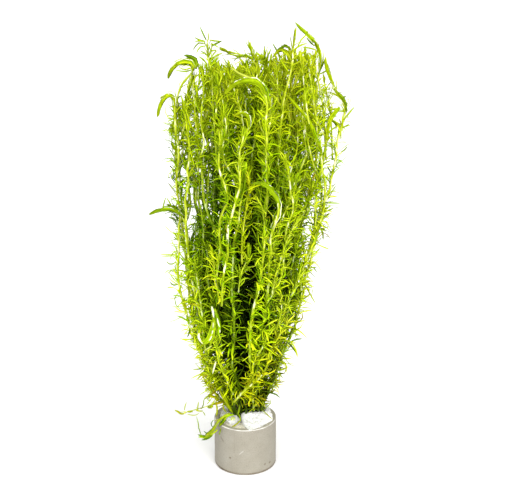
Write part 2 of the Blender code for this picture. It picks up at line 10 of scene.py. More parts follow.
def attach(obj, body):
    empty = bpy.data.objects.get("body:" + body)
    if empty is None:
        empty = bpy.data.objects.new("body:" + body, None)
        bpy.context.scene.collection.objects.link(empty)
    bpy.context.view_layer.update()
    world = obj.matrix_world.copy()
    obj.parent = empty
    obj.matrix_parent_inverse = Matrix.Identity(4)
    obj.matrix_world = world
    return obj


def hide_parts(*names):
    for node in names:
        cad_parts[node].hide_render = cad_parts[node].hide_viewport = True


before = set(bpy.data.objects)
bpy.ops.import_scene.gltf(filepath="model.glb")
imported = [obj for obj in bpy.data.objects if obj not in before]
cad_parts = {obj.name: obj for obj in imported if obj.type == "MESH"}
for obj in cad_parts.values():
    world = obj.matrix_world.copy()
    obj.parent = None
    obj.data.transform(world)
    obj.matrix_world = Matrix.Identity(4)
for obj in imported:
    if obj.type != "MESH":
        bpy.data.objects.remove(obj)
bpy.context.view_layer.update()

# ------------------------------------------------------------------ dimensions
POT_RADIUS = 0.0160
POT_HEIGHT = 0.0260
POT_WALL = 0.0026
POT_FLOOR = 0.0030
BUNDLE_CENTRE = (0.0007, 0.0022)
BUNDLE_RADIUS = 0.0080
STEM_RADIUS = 0.00080

# height of the bunch -> radius of the circle that the stem axes fill
PROFILE_Z = (0.000, 0.026, 0.032, 0.045, 0.057, 0.082, 0.107, 0.132,
             0.158, 0.184, 0.204, 0.228)
PROFILE_R = (0.0082, 0.0082, 0.0110, 0.0165, 0.0215, 0.0275, 0.0310, 0.0345,
             0.0370, 0.0380, 0.0350, 0.0280)

# The front view from which the visible shoots are laid out: an eye a little
# above the bunch, looking slightly down along +Y.  A shoot is sketched by its
# track in that view, and each point is carried back to the depth of the layer
# that the shoot grows in (-1 is the front of the bunch, +1 its back).
EYE = np.array([0.004, -0.525, 0.304])
TILT = math.radians(19.4)
FOCAL = 1134.0
VIEW_U, VIEW_V = 253.0, 246.0
FORWARD = np.array([0.0, math.cos(TILT), -math.sin(TILT)])
UPWARD = np.array([0.0, math.sin(TILT), math.cos(TILT)])

# name, layer at the tip, layer at the low end, track from the tip downwards
SHOOTS = [
    ("shoot_tall_left", 0.15, -0.25,
     [(207, 39.6), (208.8, 62), (209.5, 90), (211, 109), (212, 129), (212, 151),
      (212.6, 166), (213, 200), (212, 250), (211.5, 300), (213, 330),
      (217, 356), (216, 375)]),
    ("shoot_left_high_crook", -0.05, 0.10,
     [(168, 79), (169.5, 72), (173, 65), (180, 61), (189, 60), (195.5, 63.4),
      (196, 69), (191, 75), (185, 81), (179.3, 92), (176.8, 110), (175, 140),
      (178, 165), (181, 200), (184, 240), (188, 280), (193, 320), (204, 360)]),
    ("shoot_left_low_crook", -0.30, -0.35,
     [(157.5, 117), (160, 104), (166, 95), (172.5, 92.5), (175.5, 98),
      (174.5, 107), (174, 118), (176, 134.5), (178, 144), (177.8, 159),
      (176.7, 173), (178, 188), (178.9, 199), (179, 234), (178, 255),
      (179, 276), (180.7, 290), (185, 308), (189, 322), (192.6, 336),
      (203, 358.6), (206, 371), (211, 385), (218.6, 396.5), (227, 406)]),
    ("shoot_left_long", -0.55, -0.50,
     [(182, 98.6), (183.3, 107), (187, 122), (189, 137), (189, 151),
      (188.8, 166), (188, 181), (185.8, 199), (186, 234), (188.4, 248),
      (189, 262), (194, 290), (199, 305), (201.7, 322), (203, 335),
      (206, 352), (211, 369), (220, 386)]),
    ("shoot_left_inner", -0.20, -0.55,
     [(198, 98.6), (197, 118), (196.5, 129), (197, 140), (199.4, 151),
      (201.6, 162), (202.3, 177), (203.8, 192), (206, 203), (210, 220),
      (215.8, 234), (218.6, 248), (220, 290), (218, 330), (218.6, 360),
      (222.8, 372.6), (229.8, 385), (231, 396.5)]),
    ("shoot_left_wavy", -0.45, -0.30,
     [(224, 103), (223.6, 107), (222, 122), (221.4, 144), (219.6, 155),
      (219.6, 166), (220, 173), (222.9, 182), (225, 189), (227.3, 195),
      (226.5, 203), (223.6, 210), (220, 223), (220, 241), (219, 251),
      (222, 285), (227, 320), (230, 350)]),
    ("shoot_centre_back_left", 0.20, 0.00,
     [(233, 104), (231.3, 116), (229.5, 133), (227.3, 151), (228, 185),
      (232, 230), (236, 280), (240, 330)]),
    ("shoot_centre_small_crook", -0.62, -0.40,
     [(233.5, 117), (236.5, 112.5), (243.8, 110), (250, 113.5), (250, 121),
      (245, 137), (240, 151), (239, 166), (239.4, 181), (237.5, 195),
      (232.6, 206), (229.8, 223), (227.7, 236), (227.7, 252), (224, 269),
      (223.5, 286), (227, 320), (232, 353), (235, 375)]),
    ("shoot_centre_front", -0.80, -0.70,
     [(244.5, 161), (242.4, 192), (239.6, 210), (236.8, 228.6), (233, 242),
      (233, 259), (232.6, 276), (232, 290), (233, 305), (234, 322),
      (234.7, 339), (233, 353), (233, 367), (238, 385), (244.6, 399)]),
    ("shoot_centre_yellow", -0.45, -0.30,
     [(248.7, 164), (249.4, 181), (248, 196), (245, 217), (243, 234),
      (244, 262), (243, 300), (243, 340)]),
    ("shoot_centre_big_crook", -0.70, -0.62,
     [(224.5, 94.6), (229.0, 88), (236, 82.6), (245, 79.6), (254, 79.2),
      (261, 82.4), (265.4, 89.6), (267, 99), (266.3, 111), (266, 124), (266.3, 148),
      (267.5, 160), (266.3, 176), (266.7, 204), (264, 228.6), (263.5, 248),
      (262.8, 269), (259.7, 287.5), (254, 305), (251.5, 322), (249.6, 336),
      (250, 350), (253, 367), (253, 382), (253, 399)]),
    ("shoot_centre_back_right", 0.30, 0.20,
     [(257.9, 104), (259, 118), (252, 146), (252, 180), (254, 220),
      (255, 260), (258, 300), (257, 340)]),
    ("shoot_top_crook", 0.35, 0.30,
     [(218.6, 46.7), (228, 51.5), (240, 54.5), (250, 57.5), (257, 64),
      (259.5, 73), (261, 95), (259, 130), (256, 170), (255, 220),
      (252, 270), (250, 320)]),
    ("shoot_top_centre", 0.55, 0.45,
     [(248.5, 40), (253, 55), (259.5, 70), (265, 95), (268.5, 130),
      (271, 170), (268, 220), (264, 270), (260, 320)]),
    ("shoot_right_long_bright", -0.28, -0.28,
     [(296, 27), (294, 39), (293.4, 47), (292.6, 59), (290, 75),
      (287.8, 85), (284.6, 94), (282, 105), (280.7, 128), (279.5, 136),
      (278.7, 148), (278.7, 164), (278.3, 174), (278, 190), (277, 215),
      (275, 250), (276, 290), (273, 322), (266, 344.5), (261, 366)]),
    ("shoot_top_right_crook", 0.05, 0.10,
     [(273, 57), (276.5, 51), (282, 47.5), (288, 48.5), (290.5, 55),
      (287, 67), (281.5, 83), (275.5, 97), (273, 125), (273, 165),
      (270, 220), (268, 280), (262, 330)]),
    ("shoot_right_tall", 0.10, -0.40,
     [(295, 22.2), (305.4, 31.5), (313.3, 38), (318, 45), (320.5, 52),
      (321.3, 60), (319.7, 71), (318, 84), (316, 110), (312.5, 135),
      (307, 155), (300.5, 168), (296.3, 180), (292.6, 191), (284.5, 213),
      (279.7, 228), (276, 245), (276.5, 265), (279, 284), (281, 300),
      (280, 316), (275, 336), (268, 360)]),
    ("shoot_right_front", -0.42, -0.38,
     [(286, 94), (291.8, 101), (300.6, 109.6), (307.8, 118), (313.3, 129.5),
      (318, 141.5), (322, 154), (323.3, 168), (324.5, 184), (324.5, 200),
      (321, 217), (315.4, 234), (311, 248), (304, 266.5), (301.5, 280),
      (301, 294), (300, 309), (295.7, 326), (288.7, 341), (281.7, 355),
      (277, 370), (271, 384), (266, 397)]),
    ("shoot_right_edge_arch", 0.05, -0.55,
     [(325, 57), (326, 67), (329.5, 76), (332.5, 85), (337, 94),
      (343, 99.5), (346, 106.5), (345.4, 112.5), (342.8, 118.5),
      (340, 126), (338.7, 135), (336.9, 145), (335.7, 156), (334.7, 165),
      (333, 173), (329.3, 188), (322, 215), (313, 250), (304, 280),
      (293, 302), (286, 316), (280, 332), (273.5, 346), (270.5, 357),
      (267, 368), (262, 379), (252, 389.5), (241, 398)]),
    ("shoot_right_edge_low", -0.25, -0.65,
     [(339.7, 107), (334, 114), (329.8, 124), (327.7, 134.5), (326, 148),
      (322, 170), (315, 188), (307.7, 201), (301, 216), (293, 231),
      (286, 246), (279, 263), (273, 290), (268, 320), (262, 350)]),
    ("shoot_front_crook", -1.00, -0.85,
     [(252, 184), (258, 181), (265.5, 183.5), (272, 189.5), (277, 197),
      (279, 205), (278.5, 213), (276, 222), (272.4, 234), (270.3, 248),
      (268.5, 264), (268.5, 282), (266, 310), (259, 345)]),
    ("shoot_left_side_crook", -0.35, -0.25,
     [(149, 214.5), (155, 211), (162.4, 209), (173, 208.5), (181.5, 213),
      (186, 223), (187.5, 237), (189, 262), (193, 290), (198, 318),
      (208, 350)]),
]

# Side shoot and the two loose shoots at the mouth: name, then (u, v, depth y)
LOOSE_SHOOTS = [
    ("side_shoot_left_hook",
     [(212.6, 307, -0.0245), (214.2, 321, -0.0240), (212, 332, -0.0235),
      (208.2, 340, -0.0230), (203.0, 342.8, -0.0225), (199.0, 339.5, -0.0218),
      (198.2, 333, -0.0210)]),
    ("drooping_shoot",
     [(201.8, 438.6, -0.0125), (205.7, 435.8, -0.0125), (209.8, 433.0, -0.0122),
      (213.6, 428.5, -0.0118), (217.0, 423.2, -0.0112), (221.0, 418.6, -0.0104),
      (225.4, 415.2, -0.0094), (229.6, 413.0, -0.0084)]),
    ("trailing_runner",
     [(173.6, 409.8, -0.0060), (179.7, 412.3, -0.0060), (186.8, 411.8, -0.0058),
      (193.0, 410.6, -0.0056), (199.0, 408.8, -0.0054), (205.0, 407.0, -0.0052),
      (211.0, 404.6, -0.0050), (216.2, 402.6, -0.0046), (220.2, 402.2, -0.0040)]),
]

# Shoots behind the visible ones: name, top as (x, y, z), crook size and
# direction in degrees (0 for an erect tip), sway
BACK_SHOOTS = [
    ("shoot_back_centre", (0.004, 0.0360, 0.205), 0.0065, 60, 0.0022),
    ("shoot_back_left", (-0.011, 0.0300, 0.198), 0.0060, 140, 0.0030),
    ("shoot_back_right", (0.019, 0.0310, 0.203), 0.0060, 20, 0.0026),
    ("shoot_back_far_right", (0.032, 0.0230, 0.196), 0.0, 0, 0.0024),
    ("shoot_back_far_left", (-0.026, 0.0235, 0.176), 0.0055, 170, 0.0020),
    ("shoot_back_low_left", (-0.017, 0.0340, 0.184), 0.0, 0, 0.0026),
    ("shoot_back_low_right", (0.012, 0.0375, 0.186), 0.0060, 95, 0.0022),
    ("shoot_back_side_right", (0.036, 0.0120, 0.180), 0.0055, -20, 0.0024),
    ("shoot_inner_tall", (0.009, 0.0200, 0.212), 0.0, 0, 0.0020),
    ("shoot_inner_left", (-0.006, 0.0140, 0.196), 0.0055, 120, 0.0020),
    ("shoot_inner_right", (0.022, 0.0100, 0.196), 0.0, 0, 0.0022),
]

SPACING = 0.0030             # distance between the points of a finished axis
SOLID_TOLERANCE = 0.00056    # how closely a solid's straight pieces follow it


# ------------------------------------------------------------ shoot axes
def bunch_radius(z):
    return np.interp(z, PROFILE_Z, PROFILE_R)


def from_view(u, v, y):
    ray = FORWARD + np.array([1.0, 0, 0]) * (u - VIEW_U) / FOCAL \
        - UPWARD * (v - VIEW_V) / FOCAL
    return EYE + ray * (y - EYE[1]) / ray[1]


def layer_point(u, v, layer):
    y = 0.0
    for _ in range(12):
        p = from_view(u, v, y)
        r = bunch_radius(p[2])
        across = max(r * r - p[0] ** 2, (0.42 * r) ** 2)
        y = 0.5 * y + 0.5 * layer * math.sqrt(across)
    return from_view(u, v, y)


def smooth_through(points, step):
    """Centripetal Catmull-Rom curve through points, at an even spacing."""
    pts = [np.asarray(p, float) for p in points]
    pts = [2 * pts[0] - pts[1]] + pts + [2 * pts[-1] - pts[-2]]
    dense = []
    for k in range(1, len(pts) - 2):
        p0, p1, p2, p3 = pts[k - 1:k + 3]
        t0 = 0.0
        t1 = t0 + max(np.linalg.norm(p1 - p0), 1e-6) ** 0.5
        t2 = t1 + max(np.linalg.norm(p2 - p1), 1e-6) ** 0.5
        t3 = t2 + max(np.linalg.norm(p3 - p2), 1e-6) ** 0.5
        n = max(4, int(np.linalg.norm(p2 - p1) / 0.0006))
        for t in np.linspace(t1, t2, n, endpoint=False):
            a1 = (t1 - t) / (t1 - t0) * p0 + (t - t0) / (t1 - t0) * p1
            a2 = (t2 - t) / (t2 - t1) * p1 + (t - t1) / (t2 - t1) * p2
            a3 = (t3 - t) / (t3 - t2) * p2 + (t - t2) / (t3 - t2) * p3
            b1 = (t2 - t) / (t2 - t0) * a1 + (t - t0) / (t2 - t0) * a2
            b2 = (t3 - t) / (t3 - t1) * a2 + (t - t1) / (t3 - t1) * a3
            dense.append((t2 - t) / (t2 - t1) * b1 + (t - t1) / (t2 - t1) * b2)
    dense.append(pts[-2])
    return resample(np.array(dense), step)


def resample(line, step):
    seg = np.linalg.norm(np.diff(line, axis=0), axis=1)
    s = np.concatenate([[0.0], np.cumsum(seg)])
    n = max(3, int(round(s[-1] / step)) + 1)
    t = np.linspace(0.0, s[-1], n)
    return np.stack([np.interp(t, s, line[:, k]) for k in range(3)], axis=1)


def even_out(values, passes):
    """Binomial smoothing along an axis, ends kept."""
    v = values.copy()
    for _ in range(passes):
        v[1:-1] = 0.25 * v[:-2] + 0.5 * v[1:-1] + 0.25 * v[2:]
    return v


def mouth_slots(count):
    """Places of the stems in the mouth: a sunflower pattern in a disc."""
    k = np.arange(count) + 0.5
    r = BUNDLE_RADIUS * np.sqrt(k / count)
    a = k * math.pi * (3.0 - math.sqrt(5.0))
    return np.stack([BUNDLE_CENTRE[0] + r * np.cos(a),
                     BUNDLE_CENTRE[1] + r * np.sin(a)], axis=1)


def assign_slots(wanted, slots):
    """Give each stem the slot that keeps the total shift least."""
    cost = ((wanted[:, None, :] - slots[None, :, :]) ** 2).sum(axis=2)
    pick = list(range(len(wanted)))
    for _ in range(60):
        changed = False
        for i in range(len(pick)):
            for j in range(i + 1, len(pick)):
                now = cost[i, pick[i]] + cost[j, pick[j]]
                new = cost[i, pick[j]] + cost[j, pick[i]]
                if new < now - 1e-12:
                    pick[i], pick[j] = pick[j], pick[i]
                    changed = True
        if not changed:
            break
    return slots[pick]


def back_track(top, crook, heading, sway, phase):
    """Upper track of a back shoot, from the tip downwards."""
    x, y, z = top
    pts = []
    if crook > 0.0:
        h = math.radians(heading)
        out = np.array([math.cos(h), math.sin(h), 0.0])
        centre = np.array([x, y, z - crook]) + out * crook
        for deg in (205, 170, 135, 100, 65, 30, 0):
            a = math.radians(deg)
            pts.append(centre - out * crook * math.cos(a)
                       + np.array([0, 0, crook * 1.15 * math.sin(a)]))
    else:
        pts.append(np.array([x, y, z]))
    start = pts[-1][2]
    for k in range(1, 9):
        zz = start - (start - 0.060) * k / 8.0
        f = (bunch_radius(zz) - 0.0040) / (bunch_radius(start) - 0.0040)
        w = sway * math.sin(phase + 5.2 * k / 8.0)
        w2 = sway * math.cos(1.7 * phase + 4.1 * k / 8.0)
        pts.append(np.array([pts[0][0] * 0 + x * f + w, y * f + w2, zz]))
    return pts


def shoot_axes():
    """All shoots' axes, base first, and which of them start in the mouth."""
    tracks, names = [], []
    for name, tip_layer, low_layer, track in SHOOTS:
        n = len(track)
        pts = []
        for k, (u, v) in enumerate(track):
            f = k / (n - 1.0)
            pts.append(layer_point(u, v, tip_layer + (low_layer - tip_layer) * f))
        tracks.append(pts)
        names.append(name)
    for k, (name, top, crook, heading, sway) in enumerate(BACK_SHOOTS):
        tracks.append(back_track(top, crook, heading, sway, 1.3 + 2.4 * k))
        names.append(name)

    centre = np.array(BUNDLE_CENTRE)
    wanted = []
    for pts in tracks:
        low = pts[-1]
        f = BUNDLE_RADIUS / max(bunch_radius(low[2]), BUNDLE_RADIUS)
        wanted.append(centre + (low[:2] - centre * 0.5) * f)
    slots = assign_slots(np.array(wanted), mouth_slots(len(tracks)))

    axes = []
    base_r = bunch_radius(POT_HEIGHT)
    for pts, slot in zip(tracks, slots):
        low = pts[-1]
        path = [np.array([slot[0], slot[1], POT_FLOOR + 0.0006]),
                np.array([slot[0], slot[1], 0.012]),
                np.array([slot[0], slot[1], 0.021]),
                np.array([slot[0], slot[1], 0.0275])]
        z = 0.040
        while z < low[2] - 0.010:
            f = (bunch_radius(z) - base_r) / (bunch_radius(low[2]) - base_r)
            path.append(np.array([slot[0] + (low[0] - slot[0]) * f,
                                  slot[1] + (low[1] - slot[1]) * f, z]))
            z += 0.014
        path += list(reversed(pts))
        axes.append(even_out(smooth_through(path, SPACING), 1))
    loose = []
    for name, track in LOOSE_SHOOTS:
        pts = [from_view(u, v, y) for u, v, y in reversed(track)]
        loose.append(smooth_through(pts, SPACING * 0.6))
    spread(axes, loose)
    return names + [n for n, _ in LOOSE_SHOOTS], axes + loose, len(axes)


def stem_room(z):
    """Least distance wanted between two stem axes at height z."""
    return np.interp(z, (0.026, 0.034, 0.060, 0.100, 0.230),
                     (0.0020, 0.0023, 0.0032, 0.0046, 0.0052))


def close_pairs(pts, owner, free, reach):
    """Pairs of points of different shoots that lie within reach."""
    first, second = [], []
    by_height = np.argsort(pts[:, 2], kind="stable")
    z = pts[by_height, 2]
    for i in range(free):
        lo, hi = np.searchsorted(z, (pts[i, 2] - reach, pts[i, 2] + reach))
        near = by_height[lo:hi]
        near = near[(owner[near] != owner[i])
                    & (((pts[near] - pts[i]) ** 2).sum(axis=1) < reach * reach)]
        first.append(np.full(len(near), i))
        second.append(near)
    return np.concatenate(first), np.concatenate(second)


def spread(axes, fixed):
    """Move shoots apart along the line of sight, so that none passes
    through another and the front view keeps its drawing."""
    owner = np.concatenate([np.full(len(a), k) for k, a in enumerate(axes)]
                           + [np.full(len(a), len(axes) + k)
                              for k, a in enumerate(fixed)])
    start = np.cumsum([0] + [len(a) for a in axes])
    free = start[-1]
    for turn in range(90):
        pts = np.concatenate(list(axes) + list(fixed))
        if turn % 10 == 0:
            first, second = close_pairs(pts, owner, free, 0.013)
            order = np.where(owner[first] > owner[second], 1.0, -1.0)
            pair = owner[first] * (owner.max() + 1) + owner[second]
        sight = pts - EYE
        sight /= np.linalg.norm(sight, axis=1)[:, None]
        delta = pts[first] - pts[second]
        along = (delta * sight[first]).sum(axis=1)
        side2 = (delta ** 2).sum(axis=1) - along ** 2
        room = stem_room(0.5 * (pts[first, 2] + pts[second, 2]))
        short = np.sqrt(np.maximum(room ** 2 - side2, 0.0)) - np.abs(along)
        np.maximum(short, 0.0, out=short)
        # one shoot of a pair passes in front of the other all the way
        whole = np.bincount(pair, along * (short > 0))[pair]
        low = np.minimum(pts[first, 2], pts[second, 2]) < 0.045
        sign = np.sign(np.where(low, along, whole))
        sign = np.where(sign == 0.0, order, sign)
        move = np.bincount(first, short * sign, minlength=len(pts))
        count = np.bincount(first, short > 0, minlength=len(pts))
        move = np.clip(move / np.maximum(count, 1.0), -0.0012, 0.0012)
        for k in range(len(axes)):
            part = move[start[k]:start[k + 1]].copy()
            z = axes[k][:, 2]
            part = even_out(np.concatenate([[0.0], part, [part[-1]]]), 2)[1:-1]
            part *= np.clip((z - 0.027) / 0.008, 0.0, 1.0)
            axes[k] = axes[k] + 0.9 * part[:, None] * sight[start[k]:start[k + 1]]
    for k in range(len(axes)):
        z = axes[k][:, 2]
        fade = np.clip((z - 0.024) / 0.010, 0.0, 1.0)[:, None]
        axes[k] = axes[k] * (1 - fade) + even_out(axes[k], 1) * fade



# ------------------------------------------------------------------ leaf making
SIDES = 3                                   # two edges and a keel
LEAF_T = np.array([0.0, 0.15, 0.38, 0.64, 0.86])   # cross-sections of a leaf
SHORT_T = np.array([0.0, 0.22, 0.52, 0.82])        # and of a side shoot's leaf


def value_noise(x, seed):
    """Smooth seeded noise along a line, about -1 to 1."""
    rs = np.random.RandomState(seed)
    table = rs.uniform(-1, 1, 512)
    i = np.floor(x).astype(int)
    f = x - i
    f = f * f * (3 - 2 * f)
    return table[i % 512] * (1 - f) + table[(i + 1) % 512] * f


class Axis:
    """A shoot's axis with frames carried along it without twist."""

    def __init__(self, line):
        self.p = smooth_through(line, 0.0012)
        seg = np.linalg.norm(np.diff(self.p, axis=0), axis=1)
        self.s = np.concatenate([[0.0], np.cumsum(seg)])
        self.length = self.s[-1]
        t = np.gradient(self.p, axis=0)
        self.t = t / np.linalg.norm(t, axis=1)[:, None]
        n = np.cross(self.t[0], [0.3, 1.0, 0.1])
        n /= np.linalg.norm(n)
        ns = [n]
        for k in range(1, len(self.p)):
            n = ns[-1] - self.t[k] * (ns[-1] @ self.t[k])
            ns.append(n / np.linalg.norm(n))
        self.n = np.array(ns)
        self.b = np.cross(self.t, self.n)

    def at(self, s):
        """Point and frame at distance s, carried straight on past the tip."""
        c = np.clip(s, 0.0, self.length)
        out = []
        for arr in (self.p, self.t, self.n, self.b):
            out.append(np.stack([np.interp(c, self.s, arr[:, k])
                                 for k in range(3)], axis=-1))
        p, t, n, b = out
        t = t / np.linalg.norm(t, axis=-1)[..., None]
        p = p + t * (s - c)[..., None]
        return p, t, n, b


# what each point of a plant piece knows about itself: its tone carries painted light and shade, its
# depth in the bunch sets painted shade, and its paleness above 1 paints a highlight
VALUE_NAMES = ("along", "kind", "chance", "yellow", "inside", "withered", "fresh_and_highlight")


class Mesh:
    """Collects points, faces, face UVs and point values of one piece."""

    def __init__(self):
        self.co, self.faces, self.uvs, self.vals = [], [], [], []
        self.count = 0

    def add(self, co, faces, uvs, vals):
        """faces: list of (m, k) index arrays; uvs: matching (m, k, 2)."""
        for f, u in zip(faces, uvs):
            self.faces.append(f + self.count)
            self.uvs.append(u)
        self.co.append(co)
        self.vals.append(vals)
        self.count += len(co)

    def build(self, name, mat):
        co = np.concatenate(self.co)
        vals = np.concatenate(self.vals)
        loops = np.concatenate([f.reshape(-1) for f in self.faces])
        sizes = np.concatenate([np.full(len(f), f.shape[1]) for f in self.faces])
        uv = np.concatenate([u.reshape(-1, 2) for u in self.uvs])
        mesh = bpy.data.meshes.new(name)
        mesh.vertices.add(len(co))
        mesh.vertices.foreach_set("co", co.astype(np.float32).reshape(-1))
        mesh.loops.add(len(loops))
        mesh.loops.foreach_set("vertex_index", loops.astype(np.int32))
        mesh.polygons.add(len(sizes))
        mesh.polygons.foreach_set(
            "loop_start", np.concatenate([[0], np.cumsum(sizes)[:-1]]).astype(np.int32))
        mesh.polygons.foreach_set("loop_total", sizes.astype(np.int32))
        mesh.polygons.foreach_set("use_smooth", np.ones(len(sizes), bool))
        layer = mesh.uv_layers.new(name="OFBake")
        layer.data.foreach_set("uv", uv.astype(np.float32).reshape(-1))
        for k, key in enumerate(VALUE_NAMES):
            attr = mesh.attributes.new(key, "FLOAT", "POINT")
            attr.data.foreach_set("value", vals[:, k].astype(np.float32))
        mesh.update(calc_edges=True)
        mesh.validate()
        mesh.materials.append(mat)
        obj = bpy.data.objects.new(name, mesh)
        bpy.context.scene.collection.objects.link(obj)
        return obj


def inside_value(p):
    """How deep a point lies in the bunch: 0 at its outside, 1 at its middle. It drives the painted
    shade of the bunch's middle, weaker high up, where more light reaches.
    """
    r = np.hypot(p[:, 0] - 0.001, p[:, 1])
    limit = bunch_radius(p[:, 2]) + 0.003
    deep = np.clip(1.18 - r / limit, 0.0, 1.0)
    return deep * np.interp(p[:, 2], (0.028, 0.040, 0.10, 0.13, 0.16, 0.21),
                            (1.0, 1.12, 1.0, 0.80, 0.50, 0.24))


def leaf_bodies(mesh, c, w, h, spec, cells, levels=LEAF_T):
    """Leaf bodies round centre lines c, with width and thickness directions
    w and h; cells gives each leaf its UV rectangle."""
    n = len(c)
    rings = len(levels)
    wide = np.interp(levels, (0, 0.12, 0.40, 0.70, 0.90, 1.0),
                     (0.62, 0.85, 1.0, 0.88, 0.50, 0.1))
    W = 0.5 * spec["width"][:, None] * wide
    H = 0.5 * spec["thick"][:, None] * np.interp(levels, (0, 0.5, 1), (1.15, 1.0, 0.55))
    c5, w5, h5 = c[:, :rings], w[:, :rings], h[:, :rings]
    ring = np.stack([c5 + w5 * W[..., None] + h5 * H[..., None] * 0.4,
                     c5 - w5 * W[..., None] + h5 * H[..., None] * 0.4,
                     c5 - h5 * H[..., None] * 1.3], axis=2)
    per = rings * SIDES + 1
    co = np.concatenate([ring.reshape(n, rings * SIDES, 3), c[:, rings:rings + 1]],
                        axis=1).reshape(-1, 3)
    quad, quv, tri, tuv = [], [], [], []
    v_of = np.concatenate([0.10 + 0.90 * levels, [1.0]])
    cuts = (0.0, 0.44, 0.72, 1.0)
    for k in range(rings - 1):
        for j in range(SIDES):
            j2 = (j + 1) % SIDES
            quad.append((k * SIDES + j, k * SIDES + j2, (k + 1) * SIDES + j2,
                         (k + 1) * SIDES + j))
            quv.append(((cuts[j], v_of[k]), (cuts[j + 1], v_of[k]),
                        (cuts[j + 1], v_of[k + 1]), (cuts[j], v_of[k + 1])))
    tri.append((2, 1, 0))
    tuv.append(((0.35, 0.0), (0.65, 0.0), (0.50, 0.075)))
    last = (rings - 1) * SIDES
    for j in range(SIDES):
        tri.append((last + j, last + (j + 1) % SIDES, rings * SIDES))
        tuv.append(((cuts[j], v_of[rings - 1]), (cuts[j + 1], v_of[rings - 1]),
                    (0.5 * (cuts[j] + cuts[j + 1]), 1.0)))
    quad, tri = np.array(quad), np.array(tri)
    quv, tuv = np.array(quv, float), np.array(tuv, float)
    base = (np.arange(n) * per)[:, None, None]
    fq = (quad[None] + base).reshape(-1, 4)
    ft = (tri[None] + base).reshape(-1, 3)
    lo = cells[:, None, None, :2]
    size = cells[:, None, None, 2:]
    uq = (lo + quv[None] * size).reshape(-1, 4, 2)
    ut = (lo + tuv[None] * size).reshape(-1, 3, 2)
    along = np.tile(np.concatenate([np.repeat(levels, SIDES), [1.0]]), n)
    rep = lambda key: np.repeat(spec[key], per)
    vals = np.stack([along, np.zeros(n * per), rep("chance"), rep("yellow"),
                     inside_value(co), rep("withered"), rep("fresh_and_highlight")], axis=1)
    mesh.add(co, [fq, ft], [uq, ut], vals)


def leaves(mesh, axis, spec, cells, horns, levels=LEAF_T):
    """Leaves carried along an axis.  spec is a dict of arrays, one value a
    leaf.  A leaf of a closed tip lies in the tapering outline of the tip, and
    no open leaf grows across a closed tip in front of it."""
    n = len(spec["s"])
    if n == 0:
        return
    t = np.concatenate([levels, [1.0]])
    L = spec["length"][:, None]
    theta = spec["angle"][:, None] + spec["curl"][:, None] * t[None, :]
    mid = 0.5 * (theta[:, 1:] + theta[:, :-1])
    dt = np.diff(t)[None, :]
    a = np.concatenate([np.zeros((n, 1)), np.cumsum(np.cos(mid) * dt, axis=1)], axis=1) * L
    rho = np.concatenate([np.zeros((n, 1)), np.cumsum(np.sin(mid) * dt, axis=1)], axis=1) * L
    rho = np.maximum(rho, -0.5 * spec["root"][:, None]) + spec["root"][:, None]
    left = axis.length - (spec["s"][:, None] + a)
    outline = spec["fat"][:, None] * np.clip(left / 0.0125, 0, 1) ** 0.75
    rise = np.clip(t / 0.35, 0, 1)[None, :]
    packed = outline * (spec["layer"][:, None] * rise + 0.35 * (1 - rise))
    closed = spec["closed"][:, None]
    rho = rho * (1 - closed) + packed * closed
    lat = spec["side"][:, None] * L * t[None, :] ** 1.8 \
        + spec["wave"][:, None] * L * np.sin(t * 5.2)[None, :] * t[None, :]
    p, tt, nn, bb = axis.at(spec["s"][:, None] + a)
    cphi = np.cos(spec["phi"])[:, None, None]
    sphi = np.sin(spec["phi"])[:, None, None]
    rad = nn * cphi + bb * sphi
    tan = bb * cphi - nn * sphi
    c = p + rad * rho[..., None] + tan * lat[..., None]
    c[..., 2] -= spec["sag"][:, None] * L * t[None, :] ** 2
    uv = to_view(c.reshape(-1, 3)).reshape(n, -1, 2)
    free = np.ones(n, bool)
    for u, v, y in horns:
        near = (uv[..., 0] - u) ** 2 + (uv[..., 1] - v) ** 2 < 4.2 ** 2
        free &= ~np.any(near & (c[..., 1] < y - 0.0006), axis=1)
    free |= spec["closed"] > 0.3
    for u, v, across, high in OPENINGS:
        near = ((uv[..., 0] - u) / across) ** 2 + ((uv[..., 1] - v) / high) ** 2 < 1.0
        free &= ~np.any(near, axis=1)
    c, rad, cells = c[free], rad[free], cells[free]
    spec = {key: value[free] for key, value in spec.items()}
    if not len(c):
        return
    d = np.gradient(c, axis=1)
    d /= np.linalg.norm(d, axis=2)[..., None] + 1e-12
    w = np.cross(d, rad)
    w /= np.linalg.norm(w, axis=2)[..., None] + 1e-12
    h = np.cross(w, d)
    tw = (spec["twist"][:, None] * t)[..., None]
    w, h = w * np.cos(tw) + h * np.sin(tw), h * np.cos(tw) - w * np.sin(tw)
    leaf_bodies(mesh, c, w, h, spec, cells, levels)


def to_view(p):
    """Where points appear in the front view."""
    q = np.asarray(p) - EYE
    f = q @ FORWARD
    return np.stack([VIEW_U + FOCAL * q[..., 0] / f, VIEW_V - FOCAL * (q @ UPWARD) / f],
                    axis=-1)


